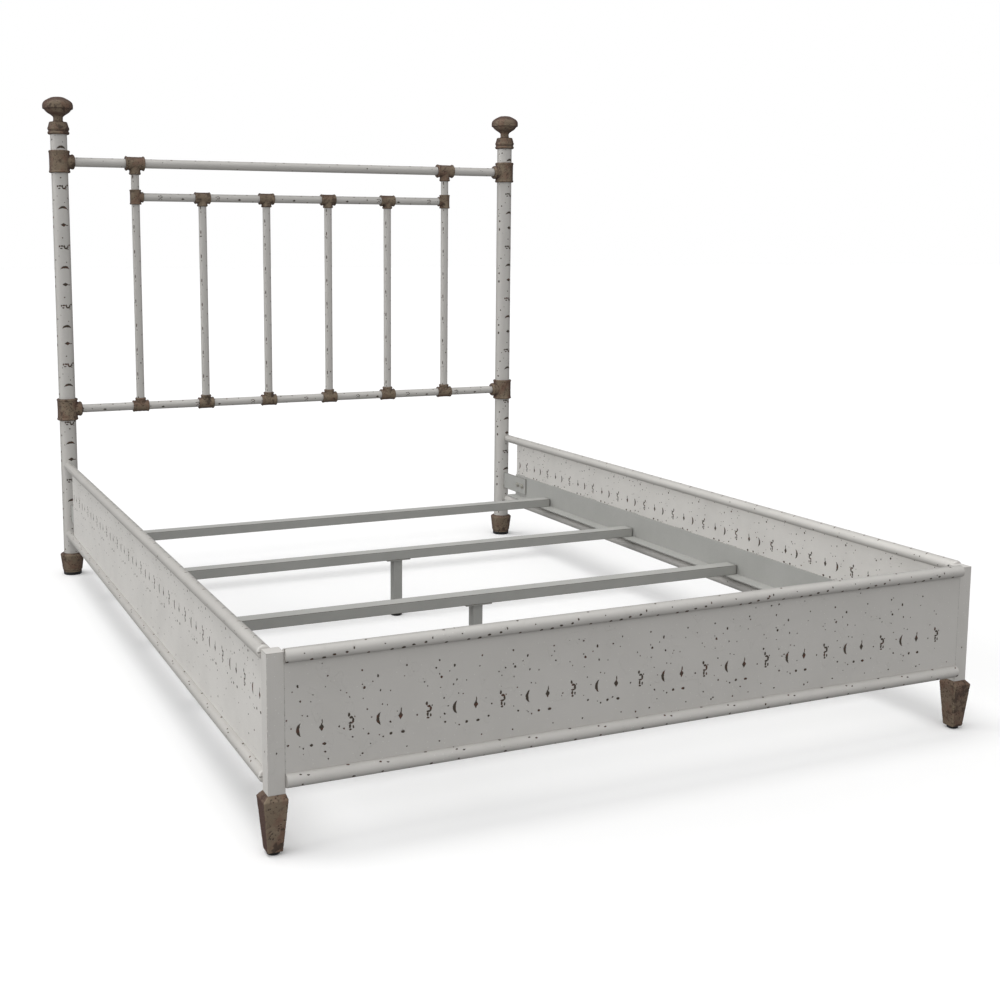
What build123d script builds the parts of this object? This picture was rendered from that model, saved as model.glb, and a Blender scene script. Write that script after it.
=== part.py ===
"""Queen-size iron bed frame: a spindle headboard of round tubes joined by cast
collars, a low surround of sheet panels edged with tube beads, a slatted deck
of steel cross bars, and screw glides under every leg.

Millimetres. +Z is up, +Y points to the headboard, X runs across the bed.
The origin is on the floor under the middle of the whole frame.
"""
from build123d import *
import os
from math import cos, pi, sin, sqrt

# ---------------------------------------------------------------- overall sizes
FRAME_WIDTH = 1575.0        # across the outer faces of the foot posts
FRAME_REACH = 2160.0        # foot posts' front faces to the headboard's centre line
HEAD_POST_X = 772.3         # headboard posts, each side of the middle
RAIL_BOTTOM_Z = 110.4       # underside of the foot posts
RAIL_TOP_Z = 361.4          # top of the foot posts
FIT = 0.1                   # radial play where a tube enters a casting

# ---------------------------------------------------------------- tube and sheet
POST_R, POST_WALL = 25.4, 1.8          # headboard posts, two inch tube
TOP_RAIL_R, TUBE_WALL = 14.3, 1.5      # top rail of the headboard
SPINDLE_R = 12.7                       # spindles, lower rails and beads, one inch
FOOT_POST_SIZE, FOOT_POST_WALL = 31.75, 2.0
PANEL_T = 2.0                          # surround panels
WELD_GAP = 0.05                        # between a panel's coped edge and its bead

# ---------------------------------------------------------------- headboard
TOP_RAIL_Z = 1302.4
SECOND_RAIL_Z = 1197.8
LOWER_RAIL_Z = 532.1
INNER_UPRIGHT_X = 539.6
SPINDLE_PITCH = 215.6
SPINDLE_COUNT = 4
POST_FOOT_Z = 22.0          # lower end of the headboard posts, inside the ferrules
POST_HEAD_Z = 1412.0        # upper end, inside the finial caps

# finial: a stepped cap, a neck and a flattened knob, from the cap's rim upwards
CAP_RIM_Z = 1384.4
KNOB_R, KNOB_MIDDLE, FINIAL_HEIGHT = 46.2, 87.0, 113.6
KNOB_UNDERSIDE = ((17.2, 55.7), (25.6, 61.6), (35.8, 69.0), (43.8, 77.4))  # radius and height
NECK_R, NECK_LOW, NECK_HIGH = 14.6, 43.8, 50.2
CAP_RING_R, CAP_RING = 33.1, 4.9       # outer radius and half height of a cap ring
CAP_GROOVE_R, CAP_GROOVE, CAP_BODY_R = 30.0, 2.2, 31.6
SHOULDER_R, SHOULDER_Z, SHOULDER_ROUND = 27.8, 38.4, 3.2

# ---------------------------------------------------------------- surround
BEAD_R = 12.7
TOP_BEAD_Z = 354.6
BOTTOM_BEAD_Z = 133.5
SIDE_INSET = 6.35           # side panels stand this far inside the foot posts' faces
SIDE_PANEL_SHORT = 107.5    # side panel's end to the headboard's centre line
BEAD_END_GAP = 0.6          # domed end of a side bead to the headboard post
BEAD_DOME, BEAD_FOOT_ROUND = 9.0, 4.0  # rounding of a side bead's head and foot ends
VENT_R, VENT_INSET = 2.5, 14.0         # vent holes in the hidden sides of the beads

# ---------------------------------------------------------------- feet
FERRULE_BASE_Z, FERRULE_TOP_Z = 9.0, 71.0
FERRULE_R, FERRULE_LOW_R, FERRULE_TOE_R = 36.6, 30.6, 28.6
HEAD_GLIDE_R, HEAD_STEM_R, HEAD_STEM_TOP = 28.5, 5.0, 58.0
LEG_TOP_SIZE, LEG_TOE_SIZE, LEG_CHAMFER = 45.4, 28.4, 1.2
LEG_SHOULDER_Z, LEG_BASE_Z = 101.0, 6.0
LEG_SHIFT = 3.0             # the cast legs stand this far outside their posts
FOOT_GLIDE_R, FOOT_STEM_R, FOOT_STEM_TOP = 12.0, 4.0, 42.0

# ---------------------------------------------------------------- deck
LEDGE_T, LEDGE_DEEP, LEDGE_TALL = 4.0, 40.0, 75.0
LEDGE_Z = 165.0             # upper face of the ledges, where the bars lie
BAR_WIDE, BAR_TALL, BAR_WALL = 40.0, 25.0, 1.5
BAR_COUNT, FIRST_BAR, BAR_PITCH = 4, 290.0, 510.0
BAR_END_PLAY = 3.0
CENTRE_LEG_SIZE, CENTRE_LEG_BASE_Z = 25.4, 7.0
CENTRE_PLATE = (70.0, 40.0, 3.0)
CENTRE_GLIDE_R = 16.0
BRACKET_T, BRACKET_Z, BRACKET_TALL = 4.0, 174.0, 56.0
BRACKET_LAP = 80.0          # how far a bracket laps along its ledge
BOLT_R, BOLT_SHANK = 4.0, 8.0
BOLT_HEAD_AF, BOLT_HEAD_T = 13.0, 5.3

# ---------------------------------------------------------------- worked-out places
WHOLE_LENGTH = BEAD_R + FRAME_REACH + KNOB_R
FOOT_Y = BEAD_R - WHOLE_LENGTH / 2      # front faces of the foot posts
HEAD_Y = FOOT_Y + FRAME_REACH           # centre line of the headboard
FOOT_POST_X = FRAME_WIDTH / 2 - FOOT_POST_SIZE / 2
FOOT_POST_Y = FOOT_Y + FOOT_POST_SIZE / 2
FOOT_POST_BACK = FOOT_Y + FOOT_POST_SIZE
FOOT_SPAN = FRAME_WIDTH - 2 * FOOT_POST_SIZE
SIDE_X = FRAME_WIDTH / 2 - SIDE_INSET   # outer faces of the side panels
PANEL_END_Y = HEAD_Y - SIDE_PANEL_SHORT
LEDGE_X = SIDE_X - PANEL_T              # outer faces of the ledges
BRACKET_X = LEDGE_X - LEDGE_T           # outer faces of the brackets
BAR_YS = [FOOT_Y + FIRST_BAR + i * BAR_PITCH for i in range(BAR_COUNT)]
SPINDLE_XS = [(i - (SPINDLE_COUNT - 1) / 2) * SPINDLE_PITCH for i in range(SPINDLE_COUNT)]
SIDES = (("left", -1), ("right", 1))


# ---------------------------------------------------------------- shared shapes
def bar_between(radius, start, end):
    """A round solid bar from one point to another."""
    line = Vector(*end) - Vector(*start)
    plane = Plane(origin=start, z_dir=line)
    return plane * Cylinder(radius, line.length, align=(Align.CENTER, Align.CENTER, Align.MIN))


def tube_between(radius, wall, start, end):
    """A round tube from one point to another."""
    return bar_between(radius, start, end) - bar_between(radius - wall, start, end)


def turned(outline):
    """Revolve a closed outline of edges in the XZ plane round the Z axis."""
    return revolve(make_face(outline), Axis.Z)


def block(x, y, z):
    """A box between two values on each axis."""
    size = (abs(x[1] - x[0]), abs(y[1] - y[0]), abs(z[1] - z[0]))
    centre = (sum(x) / 2, sum(y) / 2, sum(z) / 2)
    return Pos(*centre) * Box(*size)


def at_side(shape, side):
    """A shape modelled on the right (+X), or its mirror image on the left."""
    return shape if side > 0 else mirror(shape, Plane.YZ)


# ---------------------------------------------------------------- castings
def cast_sleeve(bore, ring_r, body_r, height, lip):
    """A sleeve round the Z axis with a rolled lip at each end and a slight waist between."""
    low, high, root = -height / 2, height / 2, ring_r - lip
    outline = [
        Line((bore, 0, low), (root, 0, low)),
        ThreePointArc((root, 0, low), (ring_r, 0, low + lip), (body_r, 0, low + 2 * lip)),
        ThreePointArc((body_r, 0, low + 2 * lip), (body_r - SLEEVE_WAIST, 0, 0),
                      (body_r, 0, high - 2 * lip)),
        ThreePointArc((body_r, 0, high - 2 * lip), (ring_r, 0, high - lip), (root, 0, high)),
        Line((root, 0, high), (bore, 0, high)),
        Line((bore, 0, high), (bore, 0, low)),
    ]
    return turned(outline)


def cast_boss(radius, reach, rim):
    """A boss along +X with a rounded rim, from the sleeve's axis to its reach."""
    root, neck = radius - rim, radius - BOSS_WAIST
    outline = [
        Line((0, 0, 0), (neck, 0, 0)),
        Line((neck, 0, 0), (neck, 0, reach - 2 * rim)),
        ThreePointArc((neck, 0, reach - 2 * rim), (radius, 0, reach - rim), (root, 0, reach)),
        Line((root, 0, reach), (0, 0, reach)),
        Line((0, 0, reach), (0, 0, 0)),
    ]
    return Plane.YZ * turned(outline)


def cast_tee(main_r, branch_r, ring_r, body_r, height, lip, boss_r, reach, rim, floor):
    """A tee: a sleeve on the main tube (along Z) and a socketed boss towards +X."""
    sleeve = cast_sleeve(main_r + FIT, ring_r, body_r, height, lip)
    boss = cast_boss(boss_r, reach, rim)
    tee = sleeve + boss
    tee -= Cylinder(main_r + FIT, height + 2)
    tee -= bar_between(branch_r + FIT, (main_r + floor, 0, 0), (reach + 1, 0, 0))
    return tee


SLEEVE_WAIST, BOSS_WAIST = 0.5, 1.4    # how far sleeves and bosses draw in between their rims
POST_COLLAR = dict(ring_r=32.6, body_r=31.2, height=68.5, lip=3.4, boss_r=22.8,
                   reach=45.5, rim=5.5, floor=3.5)
TOP_TEE = dict(ring_r=22.9, body_r=20.7, height=60.5, lip=3.0, boss_r=18.6,
               reach=35.0, rim=3.6, floor=3.0)
UPRIGHT_TEE = dict(ring_r=18.6, body_r=17.5, height=46.5, lip=2.2, boss_r=16.5,
                   reach=25.5, rim=3.0, floor=3.0)
SPINDLE_TEE = dict(ring_r=18.9, body_r=17.8, height=51.0, lip=2.4, boss_r=17.4,
                   reach=27.0, rim=3.2, floor=3.0)


def post_collar(branch_r):
    """Collar on a headboard post with its rail socket towards +X."""
    return cast_tee(POST_R, branch_r, **POST_COLLAR)


def rail_tee(main_r, size):
    """Tee lying along a rail (X) with its socket pointing down."""
    tee = cast_tee(main_r, SPINDLE_R, **size)
    return Rot(0, 90, 0) * tee


def finial():
    """Cap, neck and knob in one casting, standing on the cap's rim at z = 0."""
    socket_r = POST_R + FIT
    socket_top = POST_HEAD_Z - CAP_RIM_Z + 1
    lower = 2 * CAP_RING
    upper = lower + CAP_GROOVE
    body = upper + 2 * CAP_RING
    top_r = SHOULDER_R - SHOULDER_ROUND
    corner = SHOULDER_ROUND * (1 - sqrt(0.5))
    outline = [
        Line((socket_r, 0, 0), (CAP_RING_R - CAP_RING, 0, 0)),
        ThreePointArc((CAP_RING_R - CAP_RING, 0, 0), (CAP_RING_R, 0, CAP_RING),
                      (CAP_GROOVE_R, 0, lower)),
        Line((CAP_GROOVE_R, 0, lower), (CAP_GROOVE_R, 0, upper)),
        ThreePointArc((CAP_GROOVE_R, 0, upper), (CAP_RING_R, 0, upper + CAP_RING),
                      (CAP_BODY_R, 0, body)),
        Line((CAP_BODY_R, 0, body), (SHOULDER_R, 0, SHOULDER_Z - SHOULDER_ROUND)),
        ThreePointArc((SHOULDER_R, 0, SHOULDER_Z - SHOULDER_ROUND),
                      (SHOULDER_R - corner, 0, SHOULDER_Z - corner), (top_r, 0, SHOULDER_Z)),
        Spline((top_r, 0, SHOULDER_Z), (NECK_R, 0, NECK_LOW), tangents=((-1, 0, 0), (0, 0, 1))),
        Line((NECK_R, 0, NECK_LOW), (NECK_R, 0, NECK_HIGH)),
        Spline((NECK_R, 0, NECK_HIGH), *[(r, 0, z) for r, z in KNOB_UNDERSIDE],
               (KNOB_R, 0, KNOB_MIDDLE), tangents=((0, 0, 1), (0, 0, 1))),
    ]
    rise = FINIAL_HEIGHT - KNOB_MIDDLE
    crown = [(KNOB_R * cos(turn), 0, KNOB_MIDDLE + rise * sin(turn)) for turn in (0, pi / 6, pi / 3)]
    outline += [
        Spline(*crown, (0, 0, FINIAL_HEIGHT), tangents=((0, 0, 1), (-1, 0, 0))),
        Line((0, 0, FINIAL_HEIGHT), (0, 0, socket_top)),
        Line((0, 0, socket_top), (socket_r, 0, socket_top)),
        Line((socket_r, 0, socket_top), (socket_r, 0, 0)),
    ]
    return turned(outline)


def ferrule():
    """Tapered round shoe of a headboard post, threaded through its floor."""
    socket_r, floor_z, shoulder = POST_R + FIT, POST_FOOT_Z - 1, FERRULE_TOP_Z - 7
    outline = Polyline(
        (HEAD_STEM_R + FIT, 0, FERRULE_BASE_Z), (FERRULE_TOE_R, 0, FERRULE_BASE_Z),
        (FERRULE_TOE_R, 0, FERRULE_BASE_Z + 5), (FERRULE_LOW_R, 0, FERRULE_BASE_Z + 7),
        (FERRULE_R, 0, shoulder), (FERRULE_R - 1.2, 0, shoulder + 2.5),
        (socket_r + 1.2, 0, FERRULE_TOP_Z), (socket_r, 0, FERRULE_TOP_Z),
        (socket_r, 0, floor_z), (HEAD_STEM_R + FIT, 0, floor_z), close=True)
    return turned(outline)


def chamfered_square(size, z):
    """A square with small corner chamfers, in a level plane."""
    square = Rectangle(size, size)
    return Pos(0, 0, z) * chamfer(square.vertices(), LEG_CHAMFER)


def foot_leg():
    """Tapered cast leg with a spigot up into its post and a bore for the glide's stem."""
    taper = loft([chamfered_square(LEG_TOE_SIZE, LEG_BASE_Z),
                  chamfered_square(LEG_TOP_SIZE, LEG_SHOULDER_Z)])
    rim = Pos(-LEG_SHIFT, 0) * chamfered_square(FOOT_POST_SIZE + 1.0, RAIL_BOTTOM_Z)
    shoulder = loft([chamfered_square(LEG_TOP_SIZE, LEG_SHOULDER_Z), rim])
    spigot_size = FOOT_POST_SIZE - 2 * FOOT_POST_WALL - 4 * FIT
    spigot = Pos(-LEG_SHIFT, 0, RAIL_BOTTOM_Z) * Box(
        spigot_size, spigot_size, 30, align=(Align.CENTER, Align.CENTER, Align.MIN))
    bore = bar_between(FOOT_STEM_R + FIT, (0, 0, 0), (0, 0, FOOT_STEM_TOP + 4))
    return taper + shoulder + spigot - bore


# ---------------------------------------------------------------- glides
def flat_glide(pad_r, pad_t, stem_r, stem_top, edge):
    """A flat pad with a rounded lower edge and a threaded stem."""
    outline = [
        Line((0, 0, 0), (pad_r - edge, 0, 0)),
        ThreePointArc((pad_r - edge, 0, 0), (pad_r - edge * (1 - sqrt(0.5)), 0, edge * (1 - sqrt(0.5))),
                      (pad_r, 0, edge)),
        Line((pad_r, 0, edge), (pad_r, 0, pad_t - 1)),
        Line((pad_r, 0, pad_t - 1), (pad_r - 1, 0, pad_t)),
        Line((pad_r - 1, 0, pad_t), (stem_r, 0, pad_t)),
        Line((stem_r, 0, pad_t), (stem_r, 0, stem_top)),
        Line((stem_r, 0, stem_top), (0, 0, stem_top)),
        Line((0, 0, stem_top), (0, 0, 0)),
    ]
    return turned(outline)


# ---------------------------------------------------------------- surround
def side_bead(z):
    """Right side bead: a closed tube from the foot post to a domed end at the head."""
    start, end = FOOT_POST_BACK, HEAD_Y - POST_R - BEAD_END_GAP
    bead = bar_between(BEAD_R, (SIDE_X, start, z), (SIDE_X, end, z))
    bead = fillet(bead.edges().sort_by(Axis.Y)[-1], BEAD_DOME)
    bead = fillet(bead.edges().sort_by(Axis.Y)[0], BEAD_FOOT_ROUND)
    inside = (start + BEAD_FOOT_ROUND, end - BEAD_DOME)
    bead -= bar_between(BEAD_R - TUBE_WALL, (SIDE_X, inside[0], z), (SIDE_X, inside[1], z))
    vent_y = start + VENT_INSET
    return bead - bar_between(VENT_R, (SIDE_X, vent_y, z), (SIDE_X - BEAD_R - 1, vent_y, z))


def side_panel():
    """Right side panel, its upper and lower edges coped to the beads."""
    ends = (FOOT_POST_BACK, PANEL_END_Y)
    panel = block((SIDE_X - PANEL_T, SIDE_X), ends, (BOTTOM_BEAD_Z, TOP_BEAD_Z))
    for z in (BOTTOM_BEAD_Z, TOP_BEAD_Z):
        panel -= bar_between(BEAD_R + WELD_GAP, (SIDE_X, ends[0] - 1, z), (SIDE_X, ends[1] + 1, z))
    return panel


def foot_panel():
    """Foot panel, flush with the front faces of its posts, coped to the beads."""
    half = FOOT_SPAN / 2
    panel = block((-half, half), (FOOT_Y, FOOT_Y + PANEL_T), (BOTTOM_BEAD_Z, TOP_BEAD_Z))
    for z in (BOTTOM_BEAD_Z, TOP_BEAD_Z):
        panel -= bar_between(BEAD_R + WELD_GAP, (-half - 1, FOOT_Y, z), (half + 1, FOOT_Y, z))
    return panel


def foot_bead(z):
    """Closed tube bead between the foot posts, centred on the panel's front face."""
    half = FOOT_SPAN / 2
    inner = half - TUBE_WALL
    bead = bar_between(BEAD_R, (-half, FOOT_Y, z), (half, FOOT_Y, z))
    bead -= bar_between(BEAD_R - TUBE_WALL, (-inner, FOOT_Y, z), (inner, FOOT_Y, z))
    for _, side in SIDES:
        x = side * (half - VENT_INSET)
        bead -= bar_between(VENT_R, (x, FOOT_Y, z), (x, FOOT_Y + BEAD_R + 1, z))
    return bead


def foot_post():
    """Square post of the foot rail with a closed top, at the right corner."""
    half, inner = FOOT_POST_SIZE / 2, FOOT_POST_SIZE / 2 - FOOT_POST_WALL
    post = block((-half, half), (-half, half), (RAIL_BOTTOM_Z, RAIL_TOP_Z))
    post = fillet(post.edges().filter_by(Axis.Z), 1.2)
    post -= block((-inner, inner), (-inner, inner), (RAIL_BOTTOM_Z - 1, RAIL_TOP_Z - 3))
    return Pos(FOOT_POST_X, FOOT_POST_Y, 0) * post


# ---------------------------------------------------------------- deck
def bracket_bolt_spots():
    """Bolt places on the right, as (y, z), where brackets lap over the ledge."""
    z = BRACKET_Z + BRACKET_TALL / 2
    lap_ends = (FOOT_POST_BACK + BRACKET_T, PANEL_END_Y - BRACKET_LAP)
    return [(y + step, z) for y in lap_ends for step in (BRACKET_LAP * 0.3, BRACKET_LAP * 0.7)]


def side_ledge():
    """Steel angle inside the right panel: the bars lie on its level leg."""
    ends = (FOOT_POST_BACK, PANEL_END_Y)
    z_low = LEDGE_Z - LEDGE_T
    ledge = block((LEDGE_X - LEDGE_T, LEDGE_X), ends, (z_low, z_low + LEDGE_TALL))
    ledge += block((LEDGE_X - LEDGE_DEEP, LEDGE_X), ends, (z_low, LEDGE_Z))
    for y, z in bracket_bolt_spots():
        ledge -= bar_between(BOLT_R + FIT, (LEDGE_X + 1, y, z), (BRACKET_X - 1, y, z))
    for y in BAR_YS:
        ledge -= bar_between(BOLT_R + FIT, (bar_bolt_x(), y, z_low - 1), (bar_bolt_x(), y, LEDGE_Z + 1))
    return ledge


def bar_bolt_x():
    """Distance of a bar's end bolt from the middle."""
    return LEDGE_X - LEDGE_DEEP / 2 - LEDGE_T / 2


def bracket_plate(y_ends):
    """Flat plate against the ledge's upright leg on the right."""
    plate = block((BRACKET_X - BRACKET_T, BRACKET_X), y_ends, (BRACKET_Z, BRACKET_Z + BRACKET_TALL))
    for y, z in bracket_bolt_spots():
        plate -= bar_between(BOLT_R + FIT, (BRACKET_X + 1, y, z), (BRACKET_X - BRACKET_T - 1, y, z))
    return plate


def head_bracket():
    """Plate welded to the right headboard post and lapped over the ledge."""
    plate = bracket_plate((PANEL_END_Y - BRACKET_LAP, HEAD_Y))
    post = bar_between(POST_R + WELD_GAP, (HEAD_POST_X, HEAD_Y, 0), (HEAD_POST_X, HEAD_Y, RAIL_TOP_Z))
    coped = plate - post
    return coped.solids().sort_by(Axis.Y)[0]


def foot_bracket():
    """Angle welded to the back of the right foot post and lapped over the ledge."""
    upright = (BRACKET_Z, BRACKET_Z + BRACKET_TALL)
    flange = block((FOOT_POST_X - FOOT_POST_SIZE / 2 + 2, BRACKET_X),
                   (FOOT_POST_BACK, FOOT_POST_BACK + BRACKET_T), upright)
    return bracket_plate((FOOT_POST_BACK, FOOT_POST_BACK + BRACKET_T + BRACKET_LAP)) + flange


def cross_bar(y):
    """Rectangular steel tube across the bed, drilled for its end bolts."""
    half = BRACKET_X - BAR_END_PLAY
    bar = block((-half, half), (y - BAR_WIDE / 2, y + BAR_WIDE / 2), (LEDGE_Z, LEDGE_Z + BAR_TALL))
    bar -= block((-half - 1, half + 1), (y - BAR_WIDE / 2 + BAR_WALL, y + BAR_WIDE / 2 - BAR_WALL),
                 (LEDGE_Z + BAR_WALL, LEDGE_Z + BAR_TALL - BAR_WALL))
    for _, side in SIDES:
        x = side * bar_bolt_x()
        bar -= bar_between(BOLT_R + FIT, (x, y, LEDGE_Z - 1), (x, y, LEDGE_Z + 5))
    return bar


def centre_leg(y):
    """Square tube under a bar, with a top plate and a threaded plug at its foot."""
    half = CENTRE_LEG_SIZE / 2
    inner = half - BAR_WALL
    plate_x, plate_y, plate_t = CENTRE_PLATE
    top = LEDGE_Z - plate_t
    leg = block((-half, half), (-half, half), (CENTRE_LEG_BASE_Z, top))
    leg -= block((-inner, inner), (-inner, inner), (CENTRE_LEG_BASE_Z + 12, top))
    leg -= bar_between(FOOT_STEM_R + FIT, (0, 0, 0), (0, 0, CENTRE_LEG_BASE_Z + 13))
    leg += block((-plate_x / 2, plate_x / 2), (-plate_y / 2, plate_y / 2), (top, LEDGE_Z))
    return Pos(0, y, 0) * leg


def frame_bolt():
    """Hex bolt with its head's underside at the origin and its shank along +Z."""
    head = extrude(RegularPolygon(BOLT_HEAD_AF / 2, 6, major_radius=False), -BOLT_HEAD_T)
    shank = Cylinder(BOLT_R, BOLT_SHANK, align=(Align.CENTER, Align.CENTER, Align.MIN))
    return chamfer(head.edges().group_by(Axis.Z)[0], 0.6) + shank


def frame_bolts():
    """Every bolt of the frame: brackets to ledges, and bars to ledges."""
    bolts = []
    for _, side in SIDES:
        for y, z in bracket_bolt_spots():
            x = side * (BRACKET_X - BRACKET_T)
            bolts.append(Plane(origin=(x, y, z), z_dir=(side, 0, 0)) * frame_bolt())
        for y in BAR_YS:
            bolts.append(Pos(side * bar_bolt_x(), y, LEDGE_Z - LEDGE_T) * frame_bolt())
    return bolts


# ---------------------------------------------------------------- the pieces, by name
parts = {}

for name, side in SIDES:
    x = side * HEAD_POST_X
    inward = Rot(0, 0, 180 if side > 0 else 0)
    parts[f"headboard_post_{name}"] = tube_between(
        POST_R, POST_WALL, (x, HEAD_Y, POST_FOOT_Z), (x, HEAD_Y, POST_HEAD_Z))
    parts[f"post_finial_{name}"] = Pos(x, HEAD_Y, CAP_RIM_Z) * finial()
    parts[f"upper_collar_{name}"] = Pos(x, HEAD_Y, TOP_RAIL_Z) * inward * post_collar(TOP_RAIL_R)
    parts[f"lower_collar_{name}"] = Pos(x, HEAD_Y, LOWER_RAIL_Z) * inward * post_collar(SPINDLE_R)
    parts[f"post_ferrule_{name}"] = Pos(x, HEAD_Y, 0) * ferrule()
    parts[f"head_glide_{name}"] = Pos(x, HEAD_Y, 0) * flat_glide(
        HEAD_GLIDE_R, FERRULE_BASE_Z, HEAD_STEM_R, HEAD_STEM_TOP, 3.0)

    x = side * INNER_UPRIGHT_X
    upright_top = TOP_RAIL_Z - TOP_RAIL_R - TOP_TEE["floor"] - FIT
    upright_foot = LOWER_RAIL_Z + SPINDLE_R + SPINDLE_TEE["floor"] + FIT
    parts[f"inner_upright_{name}"] = tube_between(
        SPINDLE_R, TUBE_WALL, (x, HEAD_Y, upright_foot), (x, HEAD_Y, upright_top))
    parts[f"top_rail_tee_{name}"] = Pos(x, HEAD_Y, TOP_RAIL_Z) * rail_tee(TOP_RAIL_R, TOP_TEE)
    parts[f"upright_tee_{name}"] = (Pos(x, HEAD_Y, SECOND_RAIL_Z) * inward
                                    * cast_tee(SPINDLE_R, SPINDLE_R, **UPRIGHT_TEE))

rail_end = HEAD_POST_X - POST_R - POST_COLLAR["floor"] - FIT
second_end = INNER_UPRIGHT_X - SPINDLE_R - UPRIGHT_TEE["floor"] - FIT
parts["top_rail"] = tube_between(
    TOP_RAIL_R, TUBE_WALL, (-rail_end, HEAD_Y, TOP_RAIL_Z), (rail_end, HEAD_Y, TOP_RAIL_Z))
parts["second_rail"] = tube_between(
    SPINDLE_R, TUBE_WALL, (-second_end, HEAD_Y, SECOND_RAIL_Z), (second_end, HEAD_Y, SECOND_RAIL_Z))
parts["lower_rail"] = tube_between(
    SPINDLE_R, TUBE_WALL, (-rail_end, HEAD_Y, LOWER_RAIL_Z), (rail_end, HEAD_Y, LOWER_RAIL_Z))

socket_gap = SPINDLE_R + SPINDLE_TEE["floor"] + FIT
for number, x in enumerate(SPINDLE_XS, start=1):
    parts[f"spindle_{number}"] = tube_between(
        SPINDLE_R, TUBE_WALL, (x, HEAD_Y, LOWER_RAIL_Z + socket_gap),
        (x, HEAD_Y, SECOND_RAIL_Z - socket_gap))
    parts[f"spindle_tee_{number}"] = Pos(x, HEAD_Y, SECOND_RAIL_Z) * rail_tee(SPINDLE_R, SPINDLE_TEE)

lower_xs = [-INNER_UPRIGHT_X] + SPINDLE_XS + [INNER_UPRIGHT_X]
parts["lower_rail_tees"] = [
    Pos(x, HEAD_Y, LOWER_RAIL_Z) * Rot(0, 180, 0) * rail_tee(SPINDLE_R, SPINDLE_TEE)
    for x in lower_xs]

parts["foot_panel"] = foot_panel()
parts["foot_top_bead"] = foot_bead(TOP_BEAD_Z)
parts["foot_bottom_bead"] = foot_bead(BOTTOM_BEAD_Z)

for name, side in SIDES:
    parts[f"side_panel_{name}"] = at_side(side_panel(), side)
    parts[f"side_top_bead_{name}"] = at_side(side_bead(TOP_BEAD_Z), side)
    parts[f"side_bottom_bead_{name}"] = at_side(side_bead(BOTTOM_BEAD_Z), side)
    parts[f"side_ledge_{name}"] = at_side(side_ledge(), side)
    parts[f"head_bracket_{name}"] = at_side(head_bracket(), side)
    parts[f"foot_bracket_{name}"] = at_side(foot_bracket(), side)
    parts[f"foot_post_{name}"] = at_side(foot_post(), side)
    leg_place = Pos(FOOT_POST_X + LEG_SHIFT, FOOT_POST_Y, 0)
    parts[f"foot_leg_{name}"] = at_side(leg_place * foot_leg(), side)
    parts[f"foot_glide_{name}"] = at_side(leg_place * flat_glide(
        FOOT_GLIDE_R, LEG_BASE_Z, FOOT_STEM_R, FOOT_STEM_TOP, 4.0), side)

for number, y in enumerate(BAR_YS, start=1):
    parts[f"cross_bar_{number}"] = cross_bar(y)

for number, y in enumerate(BAR_YS[1:3], start=1):
    parts[f"centre_leg_{number}"] = centre_leg(y)
    parts[f"centre_glide_{number}"] = Pos(0, y, 0) * flat_glide(
        CENTRE_GLIDE_R, CENTRE_LEG_BASE_Z, FOOT_STEM_R, FOOT_STEM_TOP, 2.0)

parts["frame_bolts"] = frame_bolts()

# ---------------------------------------------------------------- write the STEP files
os.makedirs("parts", exist_ok=True)
for name, shape in parts.items():
    if isinstance(shape, list):
        shape = Compound(children=[piece for member in shape for piece in member.solids()])
    export_step(shape, f"parts/{name}.step")
print(len(parts), "nodes")
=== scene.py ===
"""Finishes and fittings for an iron bed frame, laid out as a Blender add-on.

The frame's tubes, panels and bars come from the packed model and get aged paint here. Castings, bolts,
glides and welds are built anew around them. Metres, +Z up, +Y towards the headboard.
"""
from math import cos, pi, radians, sin, sqrt, tan, tau

import bmesh
import bpy
import numpy as np
from bpy.props import FloatProperty, FloatVectorProperty, IntProperty, PointerProperty
from bpy.types import Operator, Panel, PropertyGroup
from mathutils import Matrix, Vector


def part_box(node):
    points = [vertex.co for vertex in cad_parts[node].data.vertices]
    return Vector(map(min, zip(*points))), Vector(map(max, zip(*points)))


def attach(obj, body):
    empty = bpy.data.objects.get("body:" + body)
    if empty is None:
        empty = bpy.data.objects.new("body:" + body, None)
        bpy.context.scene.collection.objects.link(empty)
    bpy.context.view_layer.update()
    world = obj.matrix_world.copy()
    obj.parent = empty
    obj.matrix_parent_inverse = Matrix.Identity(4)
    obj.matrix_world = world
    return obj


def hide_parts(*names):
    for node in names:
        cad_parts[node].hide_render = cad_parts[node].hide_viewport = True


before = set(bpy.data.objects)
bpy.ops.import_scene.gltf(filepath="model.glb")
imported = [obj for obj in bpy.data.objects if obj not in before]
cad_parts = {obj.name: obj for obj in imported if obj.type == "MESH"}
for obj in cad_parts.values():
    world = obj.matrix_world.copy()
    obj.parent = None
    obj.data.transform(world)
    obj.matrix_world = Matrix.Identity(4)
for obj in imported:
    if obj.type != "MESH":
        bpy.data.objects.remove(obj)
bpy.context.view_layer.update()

bl_info = {
    "name": "Iron Bed Frame",
    "version": (1, 0, 0),
    "blender": (4, 5, 0),
    "location": "3D View > Sidebar > Bed Frame",
    "description": "Aged paint, sand castings, bolts, glides and welds for an iron bed frame",
    "category": "Object",
}

MM = 0.001
SIDES = ("left", "right")


def middle(node):
    """Middle of a node's box."""
    low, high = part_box(node)
    return (low + high) / 2


def size(node):
    """Size of a node's box."""
    low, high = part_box(node)
    return high - low


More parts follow.
